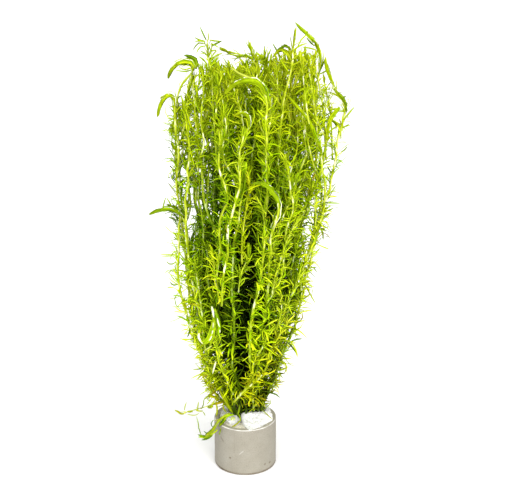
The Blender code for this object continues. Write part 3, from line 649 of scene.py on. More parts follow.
def strands(mesh, axis, drawn, cells):
    """Single leaves and threads sketched in the front view, base first."""
    uv = to_view(axis.p)
    lines, spec = [], {k: [] for k in ("width", "thick", "chance", "yellow",
                                       "withered", "fresh_and_highlight")}
    if not drawn:
        return
    for track, width, tone, yellow, fresh_and_highlight, shift in drawn:
        tone *= 0.60
        if len(track[0]) == 3:
            pts = [from_view(u, v, y * 0.001) for u, v, y in track]
        else:
            near = np.argmin(((uv - np.array(track[0])) ** 2).sum(axis=1))
            y0 = axis.p[near, 1]
            m = len(track) - 1.0
            pts = [from_view(u, v, y0 - 0.0006 + shift * 0.001 * k / m)
                   for k, (u, v) in enumerate(track)]
        line = smooth_through(pts, 0.0004) if len(pts) > 2 else resample(np.array(pts), 0.0004)
        seg = np.linalg.norm(np.diff(line, axis=0), axis=1)
        s = np.concatenate([[0.0], np.cumsum(seg)])
        at = np.concatenate([LEAF_T, [1.0]]) * s[-1]
        lines.append(np.stack([np.interp(at, s, line[:, k]) for k in range(3)], axis=1))
        for key, value in (("width", width * 0.001), ("thick", width * 0.00040),
                           ("chance", tone), ("yellow", yellow), ("withered", 0.0),
                           ("fresh_and_highlight", fresh_and_highlight)):
            spec[key].append(value)
    c = np.array(lines)
    spec = {k: np.array(v, float) for k, v in spec.items()}
    d = np.gradient(c, axis=1)
    d /= np.linalg.norm(d, axis=2)[..., None]
    sight = c - EYE
    sight /= np.linalg.norm(sight, axis=2)[..., None]
    w = np.cross(d, sight)
    w /= np.linalg.norm(w, axis=2)[..., None] + 1e-12
    h = np.cross(w, d)
    leaf_bodies(mesh, c, w, h, spec, cells)


def tube(mesh, pts, radii, sides, rect, kind, chance, yellow, fresh_and_highlight=0.0, withered=0.0):
    """Adds a closed round tube, its UVs laid along one rectangle."""
    n = len(pts)
    t = np.gradient(pts, axis=0)
    t /= np.linalg.norm(t, axis=1)[:, None] + 1e-12
    nrm = np.cross(t[0], [0.31, 0.93, 0.17])
    nrm /= np.linalg.norm(nrm)
    frames = [nrm]
    for k in range(1, n):
        v = frames[-1] - t[k] * (frames[-1] @ t[k])
        frames.append(v / (np.linalg.norm(v) + 1e-12))
    frames = np.array(frames)
    other = np.cross(t, frames)
    ang = np.arange(sides) * 2 * math.pi / sides
    ring = (pts[:, None, :] + radii[:, None, None]
            * (frames[:, None, :] * np.cos(ang)[None, :, None]
               + other[:, None, :] * np.sin(ang)[None, :, None]))
    co = np.concatenate([ring.reshape(-1, 3), pts[:1] - t[:1] * radii[0] * 0.3,
                         pts[-1:] + t[-1:] * radii[-1] * 0.8])
    first, last = n * sides, n * sides + 1
    k, j = np.meshgrid(np.arange(n - 1), np.arange(sides), indexing="ij")
    k, j = k.reshape(-1), j.reshape(-1)
    j2 = (j + 1) % sides
    quad = np.stack([k * sides + j, k * sides + j2, (k + 1) * sides + j2,
                     (k + 1) * sides + j], axis=1)
    x0, y0, w, h = rect
    ux = lambda kk: x0 + w * (0.03 + 0.94 * kk / (n - 1.0))
    vy = lambda jj: y0 + h * jj / sides
    quv = np.stack([np.stack([ux(k), vy(j)], 1), np.stack([ux(k), vy(j + 1)], 1),
                    np.stack([ux(k + 1), vy(j + 1)], 1), np.stack([ux(k + 1), vy(j)], 1)],
                   axis=1)
    jj = np.arange(sides)
    end = (n - 1) * sides
    tri = np.concatenate([
        np.stack([(jj + 1) % sides, jj, np.full(sides, first)], 1),
        np.stack([end + jj, end + (jj + 1) % sides, np.full(sides, last)], 1)])
    tuv = np.concatenate([
        np.stack([np.stack([np.full(sides, ux(0)), vy(jj + 1)], 1),
                  np.stack([np.full(sides, ux(0)), vy(jj)], 1),
                  np.stack([np.full(sides, x0), vy(jj + 0.5)], 1)], axis=1),
        np.stack([np.stack([np.full(sides, ux(n - 1)), vy(jj)], 1),
                  np.stack([np.full(sides, ux(n - 1)), vy(jj + 1)], 1),
                  np.stack([np.full(sides, x0 + w), vy(jj + 0.5)], 1)], axis=1)])
    s = np.linspace(0, 1, n)
    along = np.concatenate([np.repeat(s, sides), [0.0, 1.0]])
    m = len(co)
    full = lambda v: np.full(m, v)
    vals = np.stack([along, full(kind), full(chance), full(yellow),
                     inside_value(co), full(withered), full(fresh_and_highlight)], axis=1)
    mesh.add(co, [quad, tri], [quv, tuv], vals)


def cut_ring(mesh, centre, facing, outer, inner, length):
    """The hollow cut end of a stem, looking along facing."""
    n = 14
    facing = facing / np.linalg.norm(facing)
    a1 = np.cross(facing, [0.0, 0.0, 1.0])
    a1 /= np.linalg.norm(a1)
    a2 = np.cross(facing, a1)
    a = np.arange(n) * 2 * math.pi / n
    circle = np.cos(a)[:, None] * a1 + np.sin(a)[:, None] * a2
    back = centre - facing * length
    co = np.concatenate([back + circle * outer, centre + circle * outer,
                         centre + circle * inner, centre - facing * length * 0.6
                         + circle * inner, [back], [centre - facing * length * 0.6]])
    quad, quv, tri, tuv = [], [], [], []
    for ring in range(3):
        for j in range(n):
            j2 = (j + 1) % n
            quad.append((ring * n + j, ring * n + j2, (ring + 1) * n + j2, (ring + 1) * n + j))
            y = 0.950 + 0.012 * ring
            quv.append(((j / n, y), ((j + 1) / n, y), ((j + 1) / n, y + 0.011), (j / n, y + 0.011)))
    for j in range(n):
        j2 = (j + 1) % n
        tri.append((j2, j, 4 * n))
        tuv.append(((j / n, 0.986), ((j + 0.4) / n, 0.986), ((j + 0.2) / n, 0.996)))
        tri.append((3 * n + j, 3 * n + j2, 4 * n + 1))
        tuv.append((((j + 0.5) / n, 0.986), ((j + 0.9) / n, 0.986), ((j + 0.7) / n, 0.996)))
    vals = np.zeros((len(co), len(VALUE_NAMES)))
    vals[:, 2] = 0.75
    vals[:, 3] = 0.60
    # painted shade inside the hollow of the cut end
    vals[3 * n:, 4] = 0.9
    mesh.add(co, [np.array(quad), np.array(tri)],
             [np.array(quv, float), np.array(tuv, float)], vals)


def leaf_cells(n):
    """n UV rectangles with a margin, below the strips of the stems."""
    cols = max(1, int(round(math.sqrt(4.6 * n))))
    rows = int(math.ceil(n / cols))
    k = np.arange(n)
    w, h = 1.0 / cols, 0.84 / rows
    return np.stack([(k % cols) * w + 0.10 * w, (k // cols) * h + 0.03 * h,
                     np.full(n, 0.80 * w), np.full(n, 0.94 * h)], axis=1)


def thin_cells(n):
    """n long UV rectangles for side stems, at the top of the map."""
    across = 4
    rows = max(1, int(math.ceil(n / across)))
    k = np.arange(n)
    w, h = 1.0 / across, 0.050 / rows
    return [((i % across) * w + 0.02 * w, 0.948 + (i // across) * h + 0.08 * h,
             0.96 * w, 0.84 * h) for i in k]


INNER = ("shoot_back_centre", "shoot_back_left", "shoot_back_right", "shoot_back_low_left",
         "shoot_back_low_right", "shoot_inner_tall", "shoot_inner_left",
         "shoot_inner_right", "shoot_centre_back_left", "shoot_centre_back_right")
GOLDEN = math.pi * (3.0 - math.sqrt(5.0))

# How each shoot ends: closedness of the tip (0 open rosette, 1 closed horn),
# length of the closed part in mm, its radius in mm, fresh pale growth, yellow
# tint, number of side shoots, leaf richness at the tip
STYLE = {
    "shoot_tall_left": (0.0, 8, 1.0, 0.75, 0.30, 4, 1.0),
    "shoot_left_high_crook": (1.0, 20, 1.35, 0.90, 0.35, 4, 1.0),
    "shoot_left_low_crook": (1.0, 20, 1.20, 0.85, 0.40, 4, 1.0),
    "shoot_left_long": (0.30, 10, 0.9, 0.45, 0.35, 5, 1.0),
    "shoot_left_inner": (0.25, 10, 0.9, 0.45, 0.25, 5, 1.0),
    "shoot_left_wavy": (0.45, 10, 0.9, 0.45, 0.25, 4, 1.0),
    "shoot_centre_small_crook": (1.0, 14, 1.0, 0.75, 0.45, 4, 1.0),
    "shoot_centre_big_crook": (1.0, 27, 1.60, 0.80, 0.40, 3, 1.15),
    "shoot_centre_front": (0.75, 14, 0.8, 0.45, 0.25, 4, 1.0),
    "shoot_centre_yellow": (0.5, 10, 0.9, 0.30, 0.90, 4, 1.0),
    "shoot_front_crook": (1.0, 22, 1.25, 0.75, 0.20, 4, 1.0),
    "shoot_left_side_crook": (1.0, 20, 1.25, 0.70, 0.40, 4, 1.0),
    "shoot_top_crook": (0.60, 10, 0.4, 0.60, 0.45, 6, 0.45),
    "shoot_top_centre": (0.30, 10, 0.8, 0.60, 0.40, 6, 0.6),
    "shoot_right_long_bright": (1.0, 12, 0.5, 1.00, 0.40, 5, 0.5),
    "shoot_top_right_crook": (0.9, 16, 0.8, 0.80, 0.45, 6, 0.8),
    "shoot_right_tall": (1.0, 30, 0.62, 0.60, 0.40, 7, 0.8),
    "shoot_right_front": (1.0, 34, 0.78, 0.65, 0.40, 4, 1.0),
    "shoot_right_edge_arch": (0.85, 16, 0.60, 0.45, 0.50, 7, 0.8),
    "shoot_right_edge_low": (0.85, 16, 0.8, 0.45, 0.50, 6, 0.9),
    "side_shoot_left_hook": (1.0, 28, 1.40, 0.80, 0.15, 0, 1.0),
    "drooping_shoot": (0.25, 6, 0.8, 0.10, 0.55, 0, 1.0),
    "trailing_runner": (0.10, 4, 0.6, 1.00, 0.55, 0, 1.0),
}
PLAIN = (0.30, 11, 0.9, 0.50, 0.32, 8, 1.0)

# Single leaves seen in the front view: track from the leaf's base to its tip,
# width in mm, tone (0 deep, 1 light), yellow, fresh (above 1 it paints a highlight), depth of the tip
# in mm
DRAWN = {
    "side_shoot_left_hook": [
        ([(211.7, 306.4, -26.4), (213.0, 311.5, -26.4), (213.8, 318.0, -26.3)],
         1.10, 1.0, 0.0, 1.8, 0),
        ([(213.4, 322.4, -26.3), (213.3, 325.2, -26.3), (212.9, 328.4, -26.2)],
         0.80, 0.9, 0.1, 1.30, 0),
        ([(212.8, 330.4, -26.3), (212.4, 332.4, -26.2), (211.8, 334.4, -26.1)],
         0.62, 1.0, 0.0, 1.6, 0),
        ([(211.7, 335.8, -26.1), (210.7, 338.4, -25.9), (208.9, 340.9, -25.7)],
         0.62, 1.0, 0.0, 1.6, 0),
        ([(203.0, 343.6, -25.0), (201.0, 342.0, -24.8), (199.4, 340.2, -24.6)],
         0.62, 0.9, 0.0, 1.4, 0),
        ([(219.8, 329.6, -26.2), (220.0, 331.2, -26.2), (219.9, 333.0, -26.1)],
         0.60, 1.0, 0.0, 1.5, 0),
        ([(215.9, 361.5, -23.6), (214.2, 367.6, -23.2), (212.4, 374.2, -22.6)],
         0.85, 1.0, 0.0, 1.55, 0),
        ([(214.5, 309.0, -25.6), (217.5, 318.0, -25.6), (219.4, 328.0, -25.4),
          (217.8, 338.0, -25.0)], 2.2, 0.35, 0.05, 0.2, 0),
        ([(217.3, 318.2, -26.4), (218.2, 322.6, -26.4), (219.8, 327.4, -26.3)],
         0.66, 1.0, 0.0, 1.7, 0),
        ([(212.0, 345.6, -25.4), (207.6, 348.6, -25.2), (203.4, 351.0, -25.0)],
         0.85, 0.85, 0.1, 1.15, 0)],
    "shoot_tall_left": [
        ([(206.3, 40.5), (203.0, 33.5), (199.5, 25.9)], 0.75, 0.05, 0.15, 0.0, 1),
        ([(208.2, 40.5), (208.4, 36.0), (207.9, 31.5)], 0.6, 0.8, 0.4, 1.0, 0),
        ([(205.0, 41.3), (199.5, 40.0), (194.1, 37.1)], 0.8, 0.35, 0.3, 0.4, 1),
        ([(205.0, 42.0), (199.5, 40.8), (194.4, 41.8)], 0.8, 0.6, 0.3, 0.5, -1),
        ([(211.5, 46.0), (216.5, 43.5), (222.6, 40.4)], 0.9, 0.05, 0.2, 0.0, -2),
        ([(209.5, 40.0), (215.5, 41.0), (221.4, 41.2)], 0.8, 0.6, 0.4, 0.4, 1),
        ([(211.0, 43.5), (215.0, 45.2), (219.0, 48.0)], 0.7, 0.5, 0.3, 0.3, -2),
        ([(205.0, 44.0), (198.5, 43.0), (192.4, 51.0)], 0.7, 0.3, 0.3, 0.3, 1),
        ([(205.5, 46.0), (200.0, 47.0), (196.0, 54.0)], 0.7, 0.6, 0.3, 0.4, -1),
        ([(210.4, 61.0), (215.5, 56.0), (223.6, 52.6)], 0.9, 0.6, 0.4, 0.5, -1),
        ([(211.3, 66.0), (215.0, 61.5), (219.6, 57.0)], 0.8, 0.3, 0.2, 0.2, 1),
        ([(207.5, 64.5), (203.0, 59.5), (198.2, 56.0)], 0.8, 0.5, 0.3, 0.3, -1),
        ([(207.5, 56.0), (203.5, 52.5), (200.0, 50.5)], 0.7, 0.2, 0.2, 0.1, 1),
        ([(209.5, 52.0), (214.0, 50.0), (217.5, 51.5)], 0.7, 0.7, 0.3, 0.5, 1),
    ],
    "shoot_top_crook": [
        ([(250.5, 57.2), (240.0, 57.0), (231.0, 54.5), (218.2, 46.4)], 0.70, 0.75, 0.45, 0.5, 2),
        ([(252.6, 55.0), (251.0, 47.0), (247.8, 39.6)], 0.6, 0.45, 0.55, 0.3, 0),
        ([(254.0, 60.0), (247.0, 55.0), (239.0, 56.0), (233.0, 62.0)], 0.9, 0.15, 0.3, 0.1, -2),
    ],
    "shoot_top_centre": [
        ([(264.0, 62.0), (268.0, 55.5), (271.5, 47.6)], 0.85, 0.5, 0.4, 0.3, 1),
        ([(258.0, 62.0), (256.0, 55.0), (257.5, 50.0)], 0.7, 0.4, 0.4, 0.2, 1),
        ([(262.0, 60.0), (259.5, 55.0), (255.0, 54.0)], 0.7, 0.6, 0.4, 0.4, -1),
    ],
    "shoot_centre_big_crook": [
        ([(258.0, 81.0), (250.0, 77.6), (242.0, 75.0), (235.5, 71.0), (229.3, 66.5)],
         1.15, 0.95, 0.30, 1.1, -2),
        ([(257.0, 82.5), (247.0, 79.6), (238.0, 77.0), (231.0, 72.0)], 0.95, 0.35, 0.35, 0.4, -2),
        ([(232.0, 69.0), (227.0, 63.5), (222.3, 56.4)], 0.55, 0.25, 0.35, 0.2, 0),
    ],
    "shoot_left_high_crook": [
        ([(197.0, 67.0), (196.0, 60.0), (190.0, 56.5), (183.2, 55.0)], 2.0, 0.05, 0.15, 0.1, 2),
        ([(196.5, 69.0), (193.0, 61.5), (186.5, 58.5), (181.0, 60.0)], 1.6, 0.25, 0.2, 0.3, 0),
        ([(192.0, 69.5), (187.0, 71.5), (180.0, 71.0), (174.5, 70.0)], 0.7, 0.4, 0.3, 0.2, -2),
        ([(190.0, 68.5), (184.0, 69.5), (178.5, 67.0)], 0.7, 0.6, 0.3, 0.4, -3),
    ],
    "shoot_top_right_crook": [
        ([(291.0, 50.0), (286.5, 45.5), (280.0, 48.5), (273.8, 54.4)], 1.4, 0.08, 0.2, 0.1, 1),
        ([(281.0, 58.0), (276.5, 50.0), (272.1, 42.4)], 0.8, 0.15, 0.25, 0.1, 1),
        ([(284.5, 56.0), (282.5, 50.0), (281.5, 43.5)], 0.6, 0.5, 0.4, 0.3, 1),
    ],
    "shoot_right_long_bright": [
        ([(293.4, 48.0), (295.0, 38.0), (296.4, 27.2)], 0.75, 0.7, 0.35, 0.9, 0),
        ([(292.0, 52.0), (299.0, 46.0), (308.0, 43.0)], 0.9, 0.75, 0.4, 0.8, 1),
        ([(291.5, 60.0), (299.0, 55.0), (308.0, 49.5)], 1.1, 0.9, 0.4, 0.9, 1),
        ([(290.5, 66.0), (298.0, 62.5), (306.0, 56.5)], 1.0, 0.8, 0.4, 0.8, 1),
        ([(289.5, 58.0), (285.0, 52.5), (281.0, 50.5)], 0.9, 0.6, 0.4, 0.6, -1),
        ([(288.5, 72.0), (283.0, 64.0), (279.0, 58.0)], 0.9, 0.5, 0.4, 0.4, -1),
    ],
    "shoot_right_tall": [
        ([(313.5, 40.0), (306.0, 34.0), (299.8, 28.8), (294.8, 22.0)], 1.0, 0.15, 0.3, 0.1, 0),
        ([(314.5, 46.0), (310.5, 42.5), (306.0, 37.0)], 0.8, 0.05, 0.2, 0.0, 1),
        ([(313.5, 43.0), (305.0, 34.6), (300.0, 42.0), (296.2, 49.5)], 0.8, 0.5, 0.4, 0.2, -2),
        ([(316.0, 50.0), (309.5, 48.0), (302.0, 47.2)], 0.8, 0.6, 0.4, 0.4, -1),
        ([(306.0, 34.5), (307.5, 32.0), (308.0, 31.0)], 0.7, 0.2, 0.3, 0.1, 0),
        ([(321.0, 62.0), (319.0, 52.0), (314.0, 43.0)], 1.2, 0.55, 0.4, 0.4, 1),
        ([(318.5, 74.0), (322.5, 65.0), (326.4, 56.7)], 0.85, 0.1, 0.2, 0.0, 1),
        ([(320.0, 74.0), (325.0, 71.5), (330.3, 68.0)], 0.8, 0.4, 0.35, 0.2, 1),
        ([(318.0, 80.0), (313.0, 73.0), (308.5, 68.0)], 0.9, 0.6, 0.4, 0.4, -2),
        ([(313.5, 92.0), (308.5, 87.6), (301.0, 89.8), (293.5, 96.0)], 1.45, 0.55, 0.45, 0.3, -3),
        ([(313.5, 96.5), (307.5, 94.2), (302.0, 96.2), (297.4, 99.8)], 1.35, 0.40, 0.50, 0.1, -3),
    ],
    "shoot_right_edge_arch": [
        ([(335.0, 90.5), (342.0, 96.5), (346.0, 104.0), (346.4, 113.5)], 1.5, 0.05, 0.25, 0.0, -1),
        ([(334.0, 84.0), (329.6, 75.0), (324.2, 67.2)], 0.9, 0.4, 0.4, 0.2, 1),
        ([(334.0, 90.0), (336.0, 87.5), (336.8, 85.2)], 0.7, 0.4, 0.4, 0.2, 0),
        ([(340.0, 98.5), (343.5, 97.2), (346.8, 96.0)], 0.7, 0.2, 0.3, 0.1, 0),
        ([(344.0, 119.5), (349.0, 113.2), (354.8, 106.4)], 0.9, 0.45, 0.5, 0.2, 0),
        ([(342.5, 127.8), (346.0, 126.0), (349.5, 124.0)], 0.8, 0.35, 0.4, 0.2, 0),
        ([(341.0, 152.0), (344.5, 150.0), (347.4, 146.3)], 0.7, 0.3, 0.4, 0.1, 0),
        ([(345.5, 112.0), (339.0, 111.0), (334.0, 112.0)], 0.7, 0.3, 0.35, 0.1, -1),
    ],
    "shoot_right_edge_low": [
        ([(325.6, 140.0), (327.6, 126.0), (332.0, 113.5), (339.6, 106.3)], 1.2, 0.6, 0.5, 0.3, 0),
        ([(327.0, 134.0), (334.0, 128.0), (341.0, 124.0)], 0.8, 0.5, 0.45, 0.2, 0),
    ],
    "shoot_left_side_crook": [
        ([(163.0, 208.8), (164.0, 203.0), (166.0, 197.0)], 0.7, 0.3, 0.3, 0.2, 0),
        ([(172.5, 207.5), (169.5, 202.5), (166.2, 197.2)], 0.7, 0.45, 0.3, 0.3, 0),
        ([(175.0, 207.8), (177.0, 203.5), (176.5, 200.0)], 0.7, 0.4, 0.3, 0.3, 1),
    ],
    "shoot_front_crook": [
        ([(262.0, 184.0), (255.0, 186.5), (247.4, 190.6)], 0.8, 0.85, 0.80, 0.3, 0),
        ([(266.0, 183.5), (261.0, 179.0), (256.5, 172.5)], 0.9, 0.3, 0.25, 0.1, 1),
        ([(268.5, 184.0), (266.0, 177.0), (266.5, 172.5)], 0.8, 0.4, 0.25, 0.1, 1),
    ],
    "shoot_left_low_crook": [
        ([(177.0, 254.5), (168.0, 254.8), (159.2, 254.6)], 0.7, 0.8, 0.55, 0.4, 0),
        ([(177.5, 284.5), (173.0, 285.0), (169.8, 281.8)], 0.8, 0.1, 0.2, 0.0, 0),
        ([(176.5, 262.0), (170.0, 264.5), (166.0, 260.5)], 0.7, 0.3, 0.35, 0.1, 0),
        ([(177.5, 273.0), (171.5, 270.5), (168.0, 273.5)], 0.7, 0.5, 0.35, 0.2, 0),
        ([(180.0, 292.0), (175.0, 296.5), (176.5, 306.0), (181.5, 310.0)], 0.5, 0.3, 0.3, 0.1, 0),
        ([(180.0, 296.0), (173.5, 298.5), (167.0, 297.6)], 0.35, 0.9, 0.3, 1.0, 0),
        ([(186.0, 313.5), (178.3, 318.7), (168.4, 322.4)], 0.35, 0.9, 0.3, 1.0, 0),
        ([(190.0, 328.0), (188.8, 334.0), (186.8, 338.0)], 0.8, 0.1, 0.25, 0.0, 0),
        ([(175.5, 117.0), (170.0, 120.5), (167.0, 121.0)], 0.6, 0.6, 0.4, 0.4, 0),
        ([(177.0, 152.0), (171.5, 145.0), (172.5, 138.0)], 0.8, 0.2, 0.3, 0.1, 0),
    ],
    "shoot_right_front": [
        ([(303.0, 281.0), (309.0, 292.0), (316.0, 304.5)], 0.8, 0.35, 0.7, 0.1, 0),
        ([(301.5, 285.0), (307.5, 281.5), (312.5, 287.0), (310.5, 301.0)], 0.35, 0.9, 0.4, 1.0, 0),
        ([(302.0, 262.0), (309.5, 264.0), (314.5, 261.5)], 0.8, 0.4, 0.8, 0.2, 0),
        ([(319.5, 228.0), (322.5, 232.0), (323.2, 240.5)], 0.9, 0.3, 0.5, 0.1, 0),
        ([(300.0, 300.0), (306.0, 297.5), (311.0, 292.5)], 0.8, 0.3, 0.7, 0.1, 0),
        ([(286.0, 341.0), (291.0, 345.5), (298.2, 355.6)], 0.9, 0.1, 0.35, 0.0, 0),
        ([(283.5, 352.0), (286.5, 360.5), (291.5, 365.5), (297.6, 366.4)], 0.35, 0.9, 0.3, 1.0, 0),
    ],
    "drooping_shoot": [
        ([(233.9, 414.5), (228.3, 415.6), (225.1, 418.3)], 1.3, 0.50, 0.15, 0.1, -1),
        ([(226.0, 417.5), (222.6, 422.0), (218.6, 427.0)], 1.8, 0.22, 0.40, 0.0, -1),
        ([(217.5, 429.6), (213.6, 433.0), (209.6, 435.2)], 0.9, 0.9, 0.15, 0.9, -1),
        ([(213.0, 433.6), (208.0, 436.4), (202.5, 438.2)], 1.4, 0.22, 0.35, 0.0, -1),
        ([(212.5, 435.0), (207.5, 438.4), (201.4, 440.2)], 1.2, 0.02, 0.05, 0.0, 0),
        ([(207.0, 436.4), (202.5, 436.0), (197.4, 434.6)], 1.1, 0.10, 0.15, 0.0, 0),
        ([(205.0, 437.4), (201.0, 437.2), (198.0, 437.0)], 0.9, 0.55, 0.20, 0.2, 0),
        ([(220.8, 428.0), (220.0, 432.0), (219.0, 435.4)], 0.65, 0.10, 0.45, 0.0, 0),
        ([(213.5, 420.0), (211.2, 422.8), (211.8, 426.4), (214.7, 427.8)], 0.5, 0.05, 0.1, 0.0, 0),
        ([(208.6, 433.6), (210.0, 431.4), (211.8, 429.2)], 0.45, 0.15, 0.15, 0.0, 0),
        ([(208.0, 434.6), (206.5, 433.0), (203.6, 431.2)], 0.6, 0.10, 0.1, 0.0, 0),
        ([(201.6, 435.6), (199.2, 430.0), (198.3, 423.3), (196.2, 415.6)], 0.55, 0.20, 0.25, 0.1, 0),
        ([(224.5, 419.0), (222.4, 421.0), (221.8, 424.0)], 0.9, 0.0, 0.0, 0.0, -1),
    ],
    "trailing_runner": [
        ([(184.0, 413.6), (181.0, 414.0), (178.6, 412.0), (174.2, 409.8)], 1.1, 0.3, 1.0, 0.0, -1),
        ([(184.5, 410.2), (185.2, 405.6), (186.7, 402.0)], 0.55, 0.6, 0.6, 0.6, 0),
        ([(197.3, 411.4), (197.9, 405.8), (198.9, 401.2)], 0.65, 0.4, 0.7, 0.3, 0),
        ([(201.4, 409.0), (203.3, 405.1), (203.9, 400.1), (205.8, 396.4)], 0.55, 0.2, 0.4, 0.2, 0),
        ([(205.8, 396.4), (208.0, 399.6), (209.5, 401.6), (212.0, 397.4)], 0.5, 0.25, 0.35, 0.2, 0),
        ([(207.5, 407.6), (211.0, 406.4), (214.0, 407.2)], 0.9, 0.30, 0.60, 0.0, -1),
        ([(203.0, 411.8), (204.2, 413.6), (205.4, 416.0)], 0.5, 0.5, 0.5, 0.6, 0),
        ([(187.6, 414.2), (191.5, 415.2), (195.8, 415.1), (199.4, 413.0)], 0.5, 0.9, 0.5, 1.0, 0),
        ([(195.8, 410.2), (199.5, 411.0), (203.6, 411.0)], 0.75, 0.5, 0.9, 0.3, -1),
        ([(186.0, 412.8), (189.5, 411.2), (193.0, 412.6)], 0.45, 0.9, 0.5, 1.0, 0),
        ([(207.0, 404.0), (210.0, 400.5), (209.0, 396.5)], 0.5, 0.6, 0.4, 0.6, 0),
        ([(209.0, 408.5), (213.0, 403.5), (215.0, 399.0)], 0.9, 0.8, 0.6, 1.0, 0),
        ([(210.5, 409.0), (212.5, 405.5), (211.5, 401.5)], 0.8, 0.9, 0.5, 1.2, 0),
        ([(216.5, 416.0), (217.2, 409.5), (216.0, 402.5), (216.5, 396.0)], 0.95, 0.35, 0.95, 0.0, -1),
    ],
}
DRAWN["shoot_centre_front"] = [
    # across the wool of the front right, and out of the bunch's foot
    ([(260.5, 408.5, -7.0), (264.5, 412.0, -7.2), (269.0, 416.2, -8.6), (273.2, 420.0, -9.2)],
     0.55, 0.25, 0.95, 0.0, 0),
    ([(232.5, 413.0, -8.0), (228.0, 404.5, -9.5), (222.0, 395.0, -11.0), (219.0, 388.0, -12.0)],
     1.9, 0.25, 0.90, 0.0, 0),
    ([(231.5, 408.0, -8.2), (226.0, 398.5, -10.0), (222.5, 390.0, -11.0)], 1.1, 0.75, 0.80, 0.2, 0),
    ([(233.5, 405.5, -8.5), (238.5, 399.5, -10.5), (245.0, 393.5, -12.0), (252.0, 387.0, -13.0)],
     1.5, 0.55, 0.80, 0.1, 0),
    ([(238.0, 414.5, -9.0), (239.2, 409.0, -9.6), (240.0, 403.8, -10.2)], 1.2, 0.75, 0.65, 0.4, 0),
    ([(240.2, 420.6, -9.8), (236.0, 424.6, -11.4), (231.4, 427.2, -12.6)], 0.8, 0.40, 1.0, 0.0, 0),
    ([(238.6, 414.0, -9.2), (240.2, 418.0, -9.6), (240.0, 422.0, -10.2)], 1.0, 0.30, 0.75, 0.0, 0),
    ([(242.0, 410.0, -8.0), (250.0, 408.6, -8.4), (259.5, 409.4, -8.0)], 0.9, 0.35, 0.65, 0.0, 0),
    ([(246.5, 411.5, -8.0), (246.0, 404.0, -9.0), (247.5, 396.0, -10.0)], 0.9, 0.55, 0.75, 0.1, 0),
    ([(253.0, 411.5, -8.0), (253.6, 403.0, -9.2), (252.4, 394.0, -10.6)], 1.1, 0.60, 0.60, 0.1, 0),
    ([(258.5, 411.0, -7.6), (258.0, 404.0, -9.0), (261.5, 397.0, -10.0)], 0.9, 0.20, 0.80, 0.0, 0),
    ([(262.0, 410.1, -6.0), (266.8, 407.0, -7.0), (270.8, 402.8, -7.5), (269.4, 397.6, -8.0)],
     0.45, 0.7, 0.5, 0.7, 0),
    ([(226.5, 412.5, -7.0), (223.0, 407.5, -8.0), (224.0, 401.0, -9.0)], 0.8, 0.20, 0.90, 0.0, 0),
]
DRAWN["shoot_right_edge_arch"] += [
    ([(276.0, 362.0), (283.0, 361.5), (287.0, 368.0), (283.6, 374.0)], 0.9, 0.5, 0.95, 0.1, 0),
    ([(266.0, 391.0), (270.7, 392.8), (275.5, 394.0), (280.4, 398.2)], 0.8, 0.02, 0.2, 0.0, 0),
    ([(272.5, 372.0), (279.0, 373.5), (283.0, 378.5)], 0.8, 0.3, 0.6, 0.1, 0),
]


# outline of the bunch's leafy top in the front view
ROOF_U = (170, 176, 182, 188, 193, 200, 208, 215, 222, 228, 235, 241, 250, 258, 268,
          275, 283, 292, 300, 308, 315, 321, 326, 332, 338, 345)
ROOF_V = (106, 93, 80, 70, 62, 54, 54, 60, 62, 60, 58, 56, 57, 57, 54,
          50, 48, 46, 45, 45, 47, 56, 72, 84, 96, 122)


